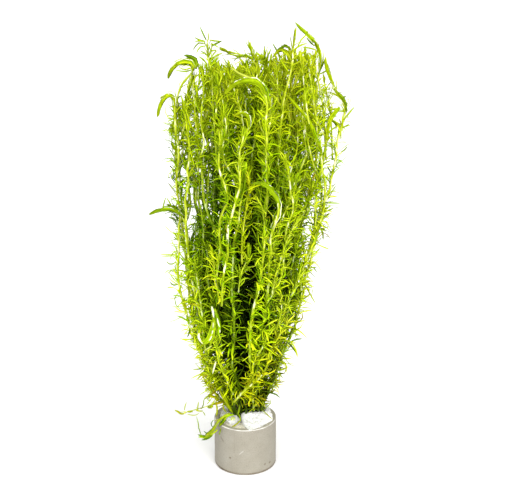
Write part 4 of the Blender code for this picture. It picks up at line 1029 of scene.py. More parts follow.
# side shoots of the front layer: track in the front view from the base, layer
# at base and tip, stem radius mm, closedness, closed length mm, radius mm,
# fresh, yellow tint
TRACED = {
    "shoot_centre_big_crook": [
        ([(250.0, 362.0), (250.0, 345.0), (250.8, 326.0), (253.5, 309.0), (258.0, 292.0),
          (261.5, 272.0), (263.5, 252.0), (265.2, 230.0)], -0.97, -0.93, 0.75,
         0.2, 9, 0.8, 0.35, 0.15)],
    "shoot_front_crook": [
        ([(255.0, 266.0), (257.0, 240.0), (258.5, 217.0), (260.0, 203.0), (261.0, 186.0)],
         -0.62, -0.60, 0.50, 0.2, 9, 0.8, 0.6, 0.4),
        ([(271.0, 258.0), (274.3, 242.0), (279.0, 231.0), (283.0, 217.0), (288.3, 204.7),
          (291.6, 192.5), (294.0, 185.0), (298.5, 172.0)], -0.82, -0.76, 0.52,
         0.4, 9, 0.6, 0.6, 0.3)],
    "shoot_right_front": [
        ([(272.0, 294.0), (277.0, 270.0), (280.4, 260.0), (285.0, 246.0), (289.0, 235.6),
          (294.0, 226.0), (300.5, 214.0)], -0.92, -0.86, 0.60, 0.5, 10, 0.6, 0.9, 0.3),
        ([(257.0, 356.0), (264.0, 344.0), (268.0, 335.0), (275.0, 328.0), (281.6, 319.0),
          (287.0, 304.7), (292.0, 294.0), (297.6, 279.0), (301.0, 262.0)], -0.96, -0.90, 0.62,
         0.3, 10, 0.8, 0.4, 0.25),
        ([(276.5, 330.0), (279.8, 318.0), (281.6, 310.0), (281.0, 301.0), (279.8, 291.6),
          (276.5, 281.5)], -0.99, -0.98, 0.55, 0.95, 9, 0.55, 0.95, 0.45),
        ([(234.0, 402.0), (242.0, 393.0), (251.0, 385.0), (259.0, 378.0), (265.7, 369.0),
          (268.5, 360.0), (271.3, 350.0), (276.0, 339.0), (283.5, 330.0), (287.5, 316.0)],
         -1.02, -0.97, 0.66, 0.2, 8, 0.8, 0.55, 0.95)],
    "shoot_centre_yellow": [
        ([(242.0, 264.0), (242.0, 241.0), (243.0, 231.0), (244.8, 218.0), (247.0, 202.0),
          (249.4, 187.0), (248.8, 172.0)], -0.86, -0.80, 0.56, 0.2, 8, 0.8, 0.4, 1.0),
        ([(253.5, 408.0), (253.0, 395.0), (253.0, 380.0), (253.5, 366.0), (256.0, 350.0)],
         -0.98, -0.95, 0.50, 0.2, 8, 0.8, 0.3, 0.7)],
    "shoot_centre_small_crook": [
        ([(221.5, 306.0), (222.7, 289.0), (224.0, 271.0), (227.9, 255.0), (227.4, 241.0),
          (228.3, 227.0), (232.0, 215.0), (236.3, 200.0), (240.0, 185.0), (239.0, 168.0),
          (239.6, 152.0), (242.9, 140.0), (246.0, 126.0)], -0.94, -0.88, 0.62,
         0.4, 10, 0.7, 0.7, 0.25),
        ([(238.5, 292.0), (240.0, 279.0), (243.0, 268.4), (247.0, 261.0), (248.5, 250.6),
          (248.0, 242.5)], -0.86, -0.86, 0.42, 1.0, 10, 0.95, 1.0, 0.1)],
    "shoot_left_wavy": [
        ([(216.5, 278.0), (218.5, 260.0), (220.4, 250.6), (219.4, 233.8), (220.0, 220.6),
          (224.0, 209.4), (228.3, 200.0), (226.0, 188.8), (219.4, 170.0), (219.0, 150.0),
          (221.0, 133.0)], -0.92, -0.84, 0.60, 0.3, 9, 0.8, 0.8, 0.25),
        ([(219.0, 304.0), (217.0, 284.0), (215.0, 277.5), (214.0, 262.0), (211.5, 246.0)],
         -0.92, -0.90, 0.50, 0.2, 9, 0.8, 0.4, 0.8)],
    "shoot_left_inner": [
        ([(233.0, 394.0), (228.0, 383.0), (223.5, 374.0), (219.0, 360.0), (217.0, 345.0),
          (216.0, 328.0)], -0.99, -0.95, 0.56, 0.2, 9, 0.8, 0.35, 0.2)],
    "shoot_right_tall": [
        ([(318.0, 150.0), (317.0, 130.0), (315.0, 110.0), (312.0, 90.0), (309.0, 70.0),
          (306.0, 51.0)], -0.35, -0.30, 0.50, 0.3, 9, 0.7, 0.8, 0.4),
        ([(326.0, 160.0), (325.0, 140.0), (324.0, 120.0), (322.0, 100.0), (319.0, 84.0),
          (316.5, 68.0), (313.5, 55.0)], -0.15, -0.10, 0.50, 0.2, 9, 0.7, 0.6, 0.4)],
    "shoot_right_edge_arch": [
        ([(332.5, 160.0), (332.0, 140.0), (331.0, 120.0), (329.0, 104.0), (326.0, 90.0),
          (322.5, 74.0)], 0.0, 0.05, 0.50, 0.2, 9, 0.7, 0.6, 0.4)],
    "shoot_top_right_crook": [
        ([(309.0, 124.0), (306.0, 104.0), (304.0, 82.0), (301.5, 64.0), (298.5, 50.0)],
         -0.60, -0.50, 0.50, 0.3, 9, 0.7, 0.7, 0.35)],
    "shoot_top_crook": [
        ([(226.0, 116.0), (227.0, 98.0), (229.0, 84.0), (230.5, 70.0), (229.0, 60.0)],
         -0.35, -0.30, 0.48, 0.3, 9, 0.7, 0.6, 0.4),
        ([(238.0, 112.0), (238.0, 92.0), (239.0, 76.0), (241.5, 61.5)], -0.20, -0.15, 0.48,
         0.2, 9, 0.7, 0.6, 0.4)],
    "shoot_tall_left": [
        ([(216.0, 118.0), (216.5, 100.0), (219.0, 86.0), (220.5, 74.0), (219.0, 64.0)],
         -0.45, -0.40, 0.48, 0.2, 9, 0.7, 0.6, 0.35),
        ([(194.0, 122.0), (195.0, 106.0), (197.0, 92.0), (199.5, 78.0), (199.0, 64.0)],
         -0.30, -0.25, 0.48, 0.2, 9, 0.7, 0.6, 0.35),
        ([(185.0, 124.0), (187.0, 110.0), (190.0, 98.0), (192.5, 88.0)], -0.15, -0.10, 0.48,
         0.2, 9, 0.7, 0.6, 0.35),
        ([(196.0, 128.0), (195.0, 112.0), (193.6, 98.0), (193.0, 86.0), (194.8, 74.0)],
         -0.32, -0.28, 0.48, 0.2, 9, 0.7, 0.6, 0.35),
        ([(201.0, 126.0), (201.8, 110.0), (203.2, 96.0), (203.6, 82.0), (202.4, 68.0)],
         -0.36, -0.30, 0.48, 0.2, 9, 0.7, 0.6, 0.35),
        ([(190.0, 124.0), (188.0, 110.0), (187.0, 98.0), (188.2, 86.0), (191.5, 76.0)],
         -0.22, -0.18, 0.44, 0.2, 9, 0.7, 0.5, 0.30)],
    "shoot_left_long": [
        ([(211.0, 396.0), (210.6, 384.0), (211.0, 374.0), (213.5, 366.0), (217.0, 357.5)],
         -0.97, -0.97, 0.50, 1.0, 10, 0.5, 1.0, 0.1)],
}


# openings right through the bunch in the front view: centre and half axes
OPENINGS = (
    (190.6, 79.4, 1.2, 2.4), (185.2, 88.4, 1.5, 3.2), (199.3, 93.4, 1.8, 3.2),
    (202.7, 116.5, 2.6, 1.5), (208.6, 127.4, 2.6, 2.0), (213.6, 103.6, 2.2, 2.2),
    (205.5, 141.5, 3.0, 3.6), (211.0, 144.0, 2.0, 2.4), (179.6, 137.5, 1.6, 1.8),
    (182.8, 151.3, 2.2, 2.6), (181.8, 172.0, 1.8, 3.6), (199.5, 170.5, 2.2, 1.8),
    (209.0, 174.5, 2.0, 1.6), (193.0, 190.5, 3.6, 2.4), (190.0, 199.5, 2.2, 3.0),
    (199.0, 203.0, 3.0, 3.0), (194.5, 210.5, 2.2, 2.0), (201.5, 218.0, 1.6, 1.8),
    (188.0, 221.5, 1.8, 2.2), (183.5, 255.0, 2.2, 2.0), (184.5, 268.0, 2.6, 1.8),
    (188.6, 292.0, 2.4, 3.0), (260.8, 71.8, 1.8, 1.6), (324.5, 140.0, 1.8, 3.0),
    (331.5, 127.0, 2.2, 4.5), (328.5, 152.0, 2.4, 3.0), (327.0, 171.0, 2.2, 2.2))


def traced_lines(name):
    """Centre lines and styles of the side shoots traced in the front view."""
    out = []
    for track, deep, top, radius, *style in TRACED.get(name, []):
        m = len(track) - 1.0
        pts = [layer_point(u, v, deep + (top - deep) * k / m)
               for k, (u, v) in enumerate(track)]
        out.append((smooth_through(pts, 0.003), radius * 0.001, (*style, 0, 0.9)))
    return out


def side_lines(axis, rs, count, horns):
    """Side shoots: fork from the stem and then rise beside it.  They keep
    behind the closed tips that the front view shows, and every other one
    reaches the bunch's leafy top."""
    out = []
    front = axis.p[len(axis.p) // 2, 1] < 0.0
    for number in range(count):
        high = number % 2 == 0
        for _try in range(60):
            length = rs.uniform(0.040, 0.085)
            top = axis.length + rs.uniform(-0.030, 0.034) if high \
                else axis.length - rs.uniform(0.010, 0.125)
            s0 = top - length
            if s0 < 0.042:
                continue
            phi = rs.uniform(0, 2 * math.pi)
            q = np.arange(0.0, length + 1e-6, 0.0030)
            off = rs.uniform(0.0045, 0.0125) * (1 - np.exp(-q / 0.014))
            stop = axis.length - 0.018
            p, t, n, b = axis.at(np.minimum(s0 + q * 0.96, stop))
            over = np.maximum(s0 + q * 0.96 - stop, 0.0)
            p = p + np.array([0.0, 0.0, 1.0]) * over[:, None]
            rad = n * math.cos(phi) + b * math.sin(phi)
            if front and rad[0, 1] < -0.15:
                continue
            tan = b * math.cos(phi) - n * math.sin(phi)
            seed = rs.randint(1000)
            sway = value_noise(q / 0.014 + seed, seed) * 0.0032 * np.clip(q / 0.02, 0, 1)
            lean = np.array([rs.uniform(-1, 1), rs.uniform(-0.3, 0.3), 0.0]) * 0.010
            line = p + rad * off[:, None] + tan * sway[:, None] \
                + lean * (np.clip(q / length - 0.35, 0, 1)[:, None] / 0.65) ** 2
            r = np.hypot(line[:, 0] - 0.001, line[:, 1])
            uv = to_view(line)
            roof = np.interp(uv[-1, 0], ROOF_U, ROOF_V)
            if uv[-1, 1] < roof or line[-1, 2] > 0.2235:
                continue
            if high and _try < 45 and uv[-1, 1] > roof + 12:
                continue
            if np.any(np.diff(line[:, 2]) <= 0) \
                    or np.any(r > bunch_radius(line[:, 2]) + 0.0010):
                continue
            near = ((uv[:, None, :] - horns[None, :, :2]) ** 2).sum(axis=2) < 7.0 ** 2
            if np.any(near & (line[:, None, 1] < horns[None, :, 2] + 0.004)):
                continue
            out.append(line)
            break
    return out


def clothe(axis, rs, index, start, style, main, name):
    """The leaves along one axis, as arrays."""
    brush, brush_len, fat, pale, tint = style[:5]
    rich = style[6]
    brush_len = brush_len * 0.001
    total = axis.length
    horn = brush > 0.8
    s_list = []
    pos = start
    while pos < total - 0.0035:
        rest = total - pos
        z = float(np.interp(pos, axis.s, axis.p[:, 2]))
        pitch = np.interp(rest, (0.004, 0.012, 0.03, 0.06, 0.20),
                          (0.00030, 0.00042, 0.00058, 0.00066, 0.00070))
        if rest < 0.035:
            pitch /= rich
        if horn and rest < brush_len * 1.3:
            pitch *= 1.15
        pitch *= float(np.interp(z, (0.03, 0.06, 0.11, 0.15), (0.62, 0.80, 0.95, 1.0)))
        if name in INNER:
            pitch *= 1.02
        if name == "trailing_runner":
            pitch = 0.0030
        elif name == "drooping_shoot":
            pitch = 0.0040
        s_list.append(pos)
        pos += pitch * rs.uniform(0.5, 1.5)
    s = np.array(s_list)
    m = len(s)
    rest = total - s
    height = np.interp(s, axis.s, axis.p[:, 2])
    x = np.interp(s, axis.s, axis.p[:, 0])
    phi = np.arange(m) * GOLDEN + rs.uniform(0, 6.28) + rs.normal(0, 0.7, m)
    # wet leaves cling together in tufts that bend the same way
    tuft = np.floor(s / 0.0034 + 0.6 * value_noise(s / 0.002, 11 * index + 3)).astype(int)
    tuft -= tuft.min()
    k = tuft.max() + 1
    clings = rs.uniform(0, 1, m) < 0.55
    phi = np.where(clings, rs.uniform(0, 6.28, k)[tuft] + rs.normal(0, 0.45, m), phi)
    near = rest / brush_len
    closed = brush * np.clip((1.20 - near) / 0.40, 0, 1)
    closed *= rs.uniform(0, 1, m) > 0.03
    loose = np.interp(height, (0.035, 0.085, 0.15, 0.20), (1.0, 0.90, 0.62, 0.45))
    open_angle = np.interp(rest, (0.0, 0.006, 0.014, 0.030, 0.060, 0.12, 0.22),
                           np.radians((24, 34, 42, 48, 52, 56, 60)))
    angle = open_angle + rs.normal(0, 1, m) * (0.16 + 0.34 * loose) \
        + np.where(clings, rs.normal(0, 0.28, k)[tuft], 0.0)
    angle = angle * (1 - closed) + np.radians(3.0) * closed
    angle = np.where(height < 0.040, np.clip(angle, 0.2, 0.95), angle)
    curl = (rs.normal(0.05, 0.35 + 0.85 * loose, m)
            + np.where(clings, rs.normal(0, 0.45, k)[tuft], 0.0)) * (1 - closed)
    curl = np.where(height < 0.040, np.clip(curl, -1.2, 0.25), curl)
    length = np.interp(rest, (0.0, 0.008, 0.020, 0.050, 0.110, 0.22),
                       (0.0060, 0.0074, 0.0080, 0.0078, 0.0078, 0.0080))
    length = length * rs.uniform(0.50, 1.25, m)
    length *= 0.92
    if not main:
        length *= 0.94
    low = np.clip((0.050 - height) / 0.020, 0, 1)
    length *= 1 - 0.12 * low
    length = np.where(closed > 0.3, np.minimum(0.0115 + 0 * length, rest * 0.985 + 0.0002),
                      length)
    if name == "side_shoot_left_hook":
        length *= 0.75
    elif name in ("trailing_runner", "drooping_shoot"):
        length *= 0.42
    width = np.interp(height, (0.03, 0.08, 0.12, 0.18), (0.00086, 0.00080, 0.00064, 0.00056)) \
        * rs.uniform(0.65, 1.40, m)
    if name in INNER:
        width = width * 1.55
    width = width * (1 - closed) + 0.00120 * fat ** 0.5 * closed * rs.uniform(0.8, 1.2, m)
    root = np.interp(rest, (0.0, 0.01, 0.03), (0.00012, 0.00024, 0.00036))
    sag = np.interp(rest, (0, 0.02, 0.06, 0.2), (0.0, 0.05, 0.12, 0.18)) \
        * rs.uniform(-0.4, 1.6, m) * (1 - closed) * np.clip((height - 0.036) / 0.01, 0, 1)
    fresh_and_highlight = np.clip(1 - rest / 0.040, 0, 1) * pale
    yellow = tint + 0.10 * rs.uniform(-1, 1) + 0.20 * value_noise(s / 0.012, 7 * index) \
        + 0.25 * np.clip(x / 0.040, -0.3, 1.0) * np.clip((0.17 - height) / 0.08, 0.2, 1) \
        - 0.28 * np.interp(height, (0.06, 0.09, 0.15, 0.19), (0, 1, 1, 0)) \
        + 0.75 * np.clip((0.068 - height) / 0.036, 0, 1) + rs.normal(0, 0.12, m)
    withered = (rs.uniform(0, 1, m) < np.interp(height, (0.03, 0.05, 0.08, 0.2),
                                                (0.22, 0.12, 0.035, 0.008))).astype(float)
    withered *= rs.uniform(0.4, 1.0, m)
    # tone of each leaf: random and alike within a tuft, with painted light and shade laid over it
    tone = np.clip(rs.uniform(0, 1, m) ** 1.25 * 0.75 + 0.25 * rs.uniform(0, 1, k)[tuft], 0, 1)
    # painted: leaves high up darker, as they take the most light
    bright = np.interp(height, (0.05, 0.12, 0.17, 0.20), (1.0, 0.95, 0.85, 0.74))
    # painted light and shade on the lower right, painted light on the lower left: lit leaves lighter,
    # shaded ones darker
    right = np.clip((x + 0.004) / 0.016, 0, 1) * np.clip((0.160 - height) / 0.03, 0, 1)
    low_left = np.clip(-x / 0.012, 0, 1) \
        * np.interp(height, (0.055, 0.065, 0.095, 0.115), (0, 1, 1, 0))
    # painted shade: about a quarter of the leaves darker, as if shaded
    shaded = np.random.RandomState(31 * index + m).uniform(0, 1, m) < 0.26
    tone *= np.where(shaded, 0.30, 1.10)
    tone += np.where(shaded, -0.32, 0.24) * right + np.where(shaded, 0.0, 0.34) * low_left
    # painted light and shade by height: tone raised in some bands up the bunch and lowered in others
    tone = tone * bright + np.interp(
        height, (0.03, 0.05, 0.07, 0.09, 0.115, 0.135, 0.155, 0.18, 0.20),
        (0.00, 0.13, 0.26, 0.28, 0.16, 0.02, -0.04, 0.25, 0.21))
    # painted shade on the upper left
    tone -= 0.14 * np.clip(-x / 0.030, 0, 1) * np.clip((height - 0.10) / 0.04, 0, 1)
    # closed tips painted darker, as they take much light
    tone = np.clip(tone * (1 - closed) + (0.10 + 0.38 * tone) * closed, 0, 1)
    spec = dict(s=s, phi=phi, length=length, width=width,
                thick=width * rs.uniform(0.34, 0.50, m), angle=angle, curl=curl,
                side=rs.normal(0, 0.10 + 0.18 * loose, m) * (1 - 0.95 * closed),
                wave=rs.normal(0, 0.03 + 0.06 * loose, m) * (1 - closed),
                sag=sag, twist=rs.normal(0, 0.9, m) * (1 - closed), closed=closed,
                fat=np.full(m, fat * 0.001), layer=rs.uniform(0.45, 1.0, m) ** 0.5,
                root=root, chance=tone,
                yellow=np.clip(yellow, 0, 1),
                withered=withered * (closed < 0.3), fresh_and_highlight=fresh_and_highlight)
    keep = rs.uniform(0, 1, m) > np.interp(height, (0.030, 0.036, 0.05), (0.30, 0.05, 0.0))
    if name in ("trailing_runner", "drooping_shoot"):
        keep[:] = True
    return {k: v[keep] for k, v in spec.items()}


def horn_body(mesh, axis, style, index):
    """The solid core of a closed tip."""
    brush_len, fat = style[1] * 0.001, style[2] * 0.001
    n = 22
    s = np.linspace(max(axis.length - brush_len * 1.05, 0.0004), axis.length - 0.0004, n)
    left = axis.length - s
    outline = fat * np.clip(left / 0.0125, 0, 1) ** 0.75
    rise = np.clip((s - s[0]) / (0.35 * brush_len), 0.25, 1)
    tube(mesh, axis.at(s)[0], 0.80 * outline * rise + 0.00005, 8,
         (0.0, 0.908, 1.0, 0.034), 0.0, 0.20, style[4], fresh_and_highlight=0.60 * style[3])


def horn_highlight_line(axis, style, reach):
    """Centre line of the painted highlight strip: along the bend's outer side."""
    brush_len, fat = style[1] * 0.001, style[2] * 0.001
    s = np.maximum(axis.length - brush_len * np.linspace(reach, 0.12, 6),
                   np.linspace(0.0005, 0.003, 6))
    p, t, _, _ = axis.at(s)
    left = axis.length - s
    outline = fat * np.clip(left / 0.0125, 0, 1) ** 0.75
    bend = axis.at(s - 0.004)[0] + axis.at(s + 0.004)[0] - 2 * p
    out = -bend / (np.linalg.norm(bend, axis=1)[:, None] + 1e-9) \
        + np.array([0.0, -0.55, 0.45])
    out -= t * (out * t).sum(axis=1)[:, None]
    out /= np.linalg.norm(out, axis=1)[:, None] + 1e-9
    return p + out * (outline * 1.10)[:, None], out


def grow(name, line, index, mat, in_pot, horns):
    """One shoot with its stem, side shoots and leaves as one mesh."""
    rs = np.random.RandomState(1200 + 17 * index)
    style = STYLE.get(name, PLAIN)
    pale, tint = style[3], style[4]
    kink = np.stack([value_noise(np.arange(len(line)) / 2.6 + 11 * k, 57 * index + k)
                     for k in range(3)], axis=1) * 0.00055
    fade = np.clip((line[:, 2] - 0.030) / 0.012, 0, 1) if in_pot else np.zeros(len(line))
    fade = fade * np.clip(np.arange(len(line))[::-1] / 8.0 - 0.4, 0, 1)
    axis = Axis(line + kink * fade[:, None])
    total = axis.length
    mesh = Mesh()
    stem_end = total - (0.0055 if in_pot else 0.0030)
    n = max(8, int(stem_end / 0.0019))
    s = np.linspace(0.0, stem_end, n)
    pts = axis.at(s)[0]
    pts += np.stack([value_noise(s / 0.006 + 7 * k, 31 * index + k) for k in range(3)],
                    axis=1) * 0.00018
    left = total - s
    if in_pot:
        r = np.interp(s, (0.0, 0.05, 0.14, 0.25), (0.00076, 0.00068, 0.00058, 0.00050))
    elif name == "drooping_shoot":
        r = np.interp(s, (0.0, 0.006, 0.014, 0.022, 0.028, 0.034, 0.040),
                      (0.00055, 0.00070, 0.00100, 0.00085, 0.00055, 0.00075, 0.00060))
    else:
        r = np.full(n, 0.00060 if name != "trailing_runner" else 0.00030)
    if name != "drooping_shoot":
        r = r * np.interp(left, (0.0, 0.010, 0.030), (0.45, 0.75, 1.0))
    r = r * (1 + 0.10 * value_noise(s / 0.0035, 91 * index + 5))
    green_stem = name == "drooping_shoot"
    tube(mesh, pts, r, 7, (0.0, 0.856, 1.0, 0.044), 0.10 if green_stem else 1.0,
         0.10 if green_stem else rs.uniform(0, 1), tint, fresh_and_highlight=0.0 if green_stem else pale)
    if style[0] >= 1.0:
        horn_body(mesh, axis, style, index)
    if name == "drooping_shoot":
        spot = from_view(232.8, 419.0, -0.0078)
        cut_ring(mesh, spot, EYE - spot + np.array([-0.10, 0.0, 0.05]),
                 0.00098, 0.00058, 0.0016)
    if in_pot:
        z_line = np.maximum.accumulate(axis.p[:, 2])
        start = float(np.interp(0.0345, z_line, axis.s))
    else:
        start = 0.004
    parts = [(axis, clothe(axis, rs, index, start, style, True, name))]
    if in_pot and style[5]:
        sides = []
        for side in side_lines(axis, rs, style[5], horns):
            if rs.uniform() < (0.50 if side[-1, 1] > 0 else 0.15):
                side_style = (0.95, rs.uniform(9, 17), rs.uniform(0.45, 0.80), pale, tint, 0, 0.9)
            else:
                side_style = (0.12, 9, 0.8, pale * 0.8, tint, 0, 0.9)
            sides.append((side, 0.00052, side_style))
        sides += traced_lines(name)
        cells = thin_cells(max(1, len(sides)))
        for k, ((side, radius, side_style), cell) in enumerate(zip(sides, cells)):
            branch = Axis(side)
            end = branch.length - 0.004
            m = max(6, int(end / 0.0026))
            q = np.linspace(0.0, end, m)
            rr = radius * np.interp(branch.length - q, (0.0, 0.012, 0.05), (0.42, 0.73, 1.0))
            tube(mesh, branch.at(q)[0], rr, 5, cell, 1.0, rs.uniform(0, 1), side_style[4],
                 fresh_and_highlight=side_style[3])
            parts.append((branch, clothe(branch, rs, index + 50 * (k + 1), 0.003,
                                         side_style, False, name)))
    drawn = DRAWN.get(name, [])
    highlight_strips = []
    if style[0] >= 1.0 and name != "side_shoot_left_hook":
        highlight_strips.append(horn_highlight_line(axis, style, 1.45 if name == "shoot_front_crook" else 0.92))
    count = sum(len(spec["s"]) for _, spec in parts) + len(drawn) + len(highlight_strips)
    cells = leaf_cells(count)
    strands(mesh, axis, drawn, cells[:len(drawn)])
    at = len(drawn)
    # painted highlight strips along the outer side of the closed tips
    for line, out in highlight_strips:
        d = np.gradient(line, axis=0)
        d /= np.linalg.norm(d, axis=1)[:, None]
        one = lambda v: np.array([v])
        width = style[2] * 0.00066
        leaf_bodies(mesh, line[None], np.cross(d, out)[None], out[None],
                    dict(width=one(width), thick=one(width * 0.5), chance=one(1.0),
                         yellow=one(tint * 0.5), withered=one(0.0), fresh_and_highlight=one(1.75)),
                    cells[at:at + 1])
        at += 1
    for number, (ax, spec) in enumerate(parts):
        k = len(spec["s"])
        leaves(mesh, ax, spec, cells[at:at + k], horns, LEAF_T if number == 0 else SHORT_T)
        at += k
    return mesh.build(name + "_leafy", mat), count


# ------------------------------------------------------------------ materials
def node_tree(name):
    mat = bpy.data.materials.new(name)
    mat.use_nodes = True
    nt = mat.node_tree
    return mat, nt, nt.nodes["Principled BSDF"]


def add(nt, kind, **props):
    node = nt.nodes.new(kind)
    for key, value in props.items():
        setattr(node, key, value)
    return node


def attr(nt, name):
    node = add(nt, "ShaderNodeAttribute", attribute_name=name)
    return node.outputs["Fac"]


def mix(nt, fac, a, b, blend="MIX"):
    node = add(nt, "ShaderNodeMix", data_type="RGBA", blend_type=blend)
    node.clamp_factor = True
    for sock, value in ((node.inputs[0], fac), (node.inputs[6], a), (node.inputs[7], b)):
        if hasattr(value, "links"):
            nt.links.new(value, sock)
        elif isinstance(value, tuple):
            sock.default_value = (*value, 1.0)
        else:
            sock.default_value = value
    return node.outputs[2]


def maths(nt, op, a, b=None, c=None, clamp=False):
    node = add(nt, "ShaderNodeMath", operation=op, use_clamp=clamp)
    for sock, value in zip(node.inputs, (a, b, c)):
        if value is None:
            continue
        if hasattr(value, "links"):
            nt.links.new(value, sock)
        else:
            sock.default_value = value
    return node.outputs[0]


def ramp(nt, fac, stops):
    node = add(nt, "ShaderNodeValToRGB")
    els = node.color_ramp.elements
    while len(els) < len(stops):
        els.new(0.5)
    for el, (pos, col) in zip(els, stops):
        el.position = pos
        el.color = (*col, 1.0) if len(col) == 3 else col
    nt.links.new(fac, node.inputs["Fac"])
    return node.outputs["Color"]


def noise_tex(nt, scale, detail=3.0, rough=0.55, distortion=0.0):
    coord = add(nt, "ShaderNodeTexCoord")
    node = add(nt, "ShaderNodeTexNoise")
    node.inputs["Scale"].default_value = scale
    node.inputs["Detail"].default_value = detail
    node.inputs["Roughness"].default_value = rough
    node.inputs["Distortion"].default_value = distortion
    nt.links.new(coord.outputs["Object"], node.inputs["Vector"])
    return node.outputs["Fac"]


def bump(nt, shader, height, strength, distance):
    node = add(nt, "ShaderNodeBump")
    node.inputs["Strength"].default_value = strength
    node.inputs["Distance"].default_value = distance
    nt.links.new(height, node.inputs["Height"])
    nt.links.new(node.outputs["Normal"], shader.inputs["Normal"])


def plant_material():
    """Soft wet leaf tissue: lime green, paler at new growth and stems, yellow
    with age, with painted shade in the middle of the bunch and painted
    highlights on wet stems and closed tips."""
    mat, nt, sh = node_tree("bogmoss_tissue")
    along, kind = attr(nt, "along"), attr(nt, "kind")
    chance, yellow = attr(nt, "chance"), attr(nt, "yellow")
    inside, withered = attr(nt, "inside"), attr(nt, "withered")
    fresh_and_highlight = attr(nt, "fresh_and_highlight")
    patch = noise_tex(nt, 170.0, 3.0)
    fine = noise_tex(nt, 2600.0, 2.0)
    # leaf: from deep to lime green by tone, which carries painted light and shade, and by patches
    tone = maths(nt, "MULTIPLY_ADD", patch, 0.9, maths(nt, "MULTIPLY_ADD", chance, 1.0, -0.45),
                 clamp=True)
    green = ramp(nt, tone, [(0.0, (0.070, 0.165, 0.000)), (0.28, (0.270, 0.490, 0.000)),
                            (0.60, (0.500, 0.740, 0.001)), (1.0, (0.720, 0.860, 0.012))])
    gold = ramp(nt, tone, [(0.0, (0.260, 0.240, 0.000)), (0.45, (0.620, 0.610, 0.000)),
                           (1.0, (0.830, 0.790, 0.008))])
    colour = mix(nt, maths(nt, "MULTIPLY", yellow, 0.80), green, gold)
    young = ramp(nt, tone, [(0.0, (0.150, 0.185, 0.001)), (0.5, (0.340, 0.385, 0.008)),
                            (1.0, (0.600, 0.640, 0.070))])
    colour = mix(nt, maths(nt, "MULTIPLY", fresh_and_highlight, 0.75, clamp=True), colour, young)
    # painted highlight: near-white where the paleness value runs above 1
    painted_highlight = maths(nt, "MULTIPLY_ADD", fresh_and_highlight, 1.6, -1.7, clamp=True)
    colour = mix(nt, painted_highlight, colour, (0.930, 0.940, 0.700))
    # pale leaf base
    base_pale = ramp(nt, along, [(0.0, (0.5, 0.5, 0.5)), (0.20, (0.0, 0.0, 0.0)),
                                 (1.0, (0.0, 0.0, 0.0))])
    colour = mix(nt, base_pale, colour, (0.440, 0.540, 0.020))
    # stem, with pale streaks along it; the palest streaks are painted highlights of its wet surface
    coord = add(nt, "ShaderNodeTexCoord")
    stretch = add(nt, "ShaderNodeMapping")
    stretch.inputs["Scale"].default_value = (1.0, 1.0, 0.28)
    nt.links.new(coord.outputs["Object"], stretch.inputs["Vector"])
    stem_streaks_and_highlights = add(nt, "ShaderNodeTexNoise")
    stem_streaks_and_highlights.inputs["Scale"].default_value = 620.0
    stem_streaks_and_highlights.inputs["Detail"].default_value = 2.0
    nt.links.new(stretch.outputs["Vector"], stem_streaks_and_highlights.inputs["Vector"])
    stem = ramp(nt, stem_streaks_and_highlights.outputs["Fac"],
                [(0.38, (0.230, 0.330, 0.001)), (0.48, (0.380, 0.470, 0.010)),
                 (0.57, (0.540, 0.610, 0.080)), (0.65, (0.900, 0.910, 0.640))])
    stem = mix(nt, maths(nt, "MULTIPLY", yellow, 0.35), stem, (0.520, 0.500, 0.020))
    colour = mix(nt, kind, colour, stem)
    # withered leaves and brown spots
    brown = ramp(nt, fine, [(0.35, (0.220, 0.110, 0.006)), (0.70, (0.520, 0.360, 0.012))])
    colour = mix(nt, maths(nt, "MULTIPLY", withered, 0.75), colour, brown)
    spot = noise_tex(nt, 420.0, 2.0)
    spot = ramp(nt, spot, [(0.735, (0, 0, 0)), (0.775, (1, 1, 1))])
    colour = mix(nt, maths(nt, "MULTIPLY", spot, 0.55), colour, (0.460, 0.300, 0.010))
    # painted shade: darker deeper in the middle of the bunch
    deep = ramp(nt, inside, [(0.24, (1, 1, 1)), (0.42, (0.54, 0.66, 0.35)),
                             (0.60, (0.14, 0.21, 0.04)), (0.85, (0.012, 0.025, 0.001))])
    colour = mix(nt, 1.0, colour, deep, "MULTIPLY")
    nt.links.new(colour, sh.inputs["Base Color"])
    rough = maths(nt, "MULTIPLY_ADD", patch, 0.30, 0.26)
    nt.links.new(rough, sh.inputs["Roughness"])
    sh.inputs["Specular IOR Level"].default_value = 0.05
    bump(nt, sh, fine, 0.25, 0.0001)
    return mat


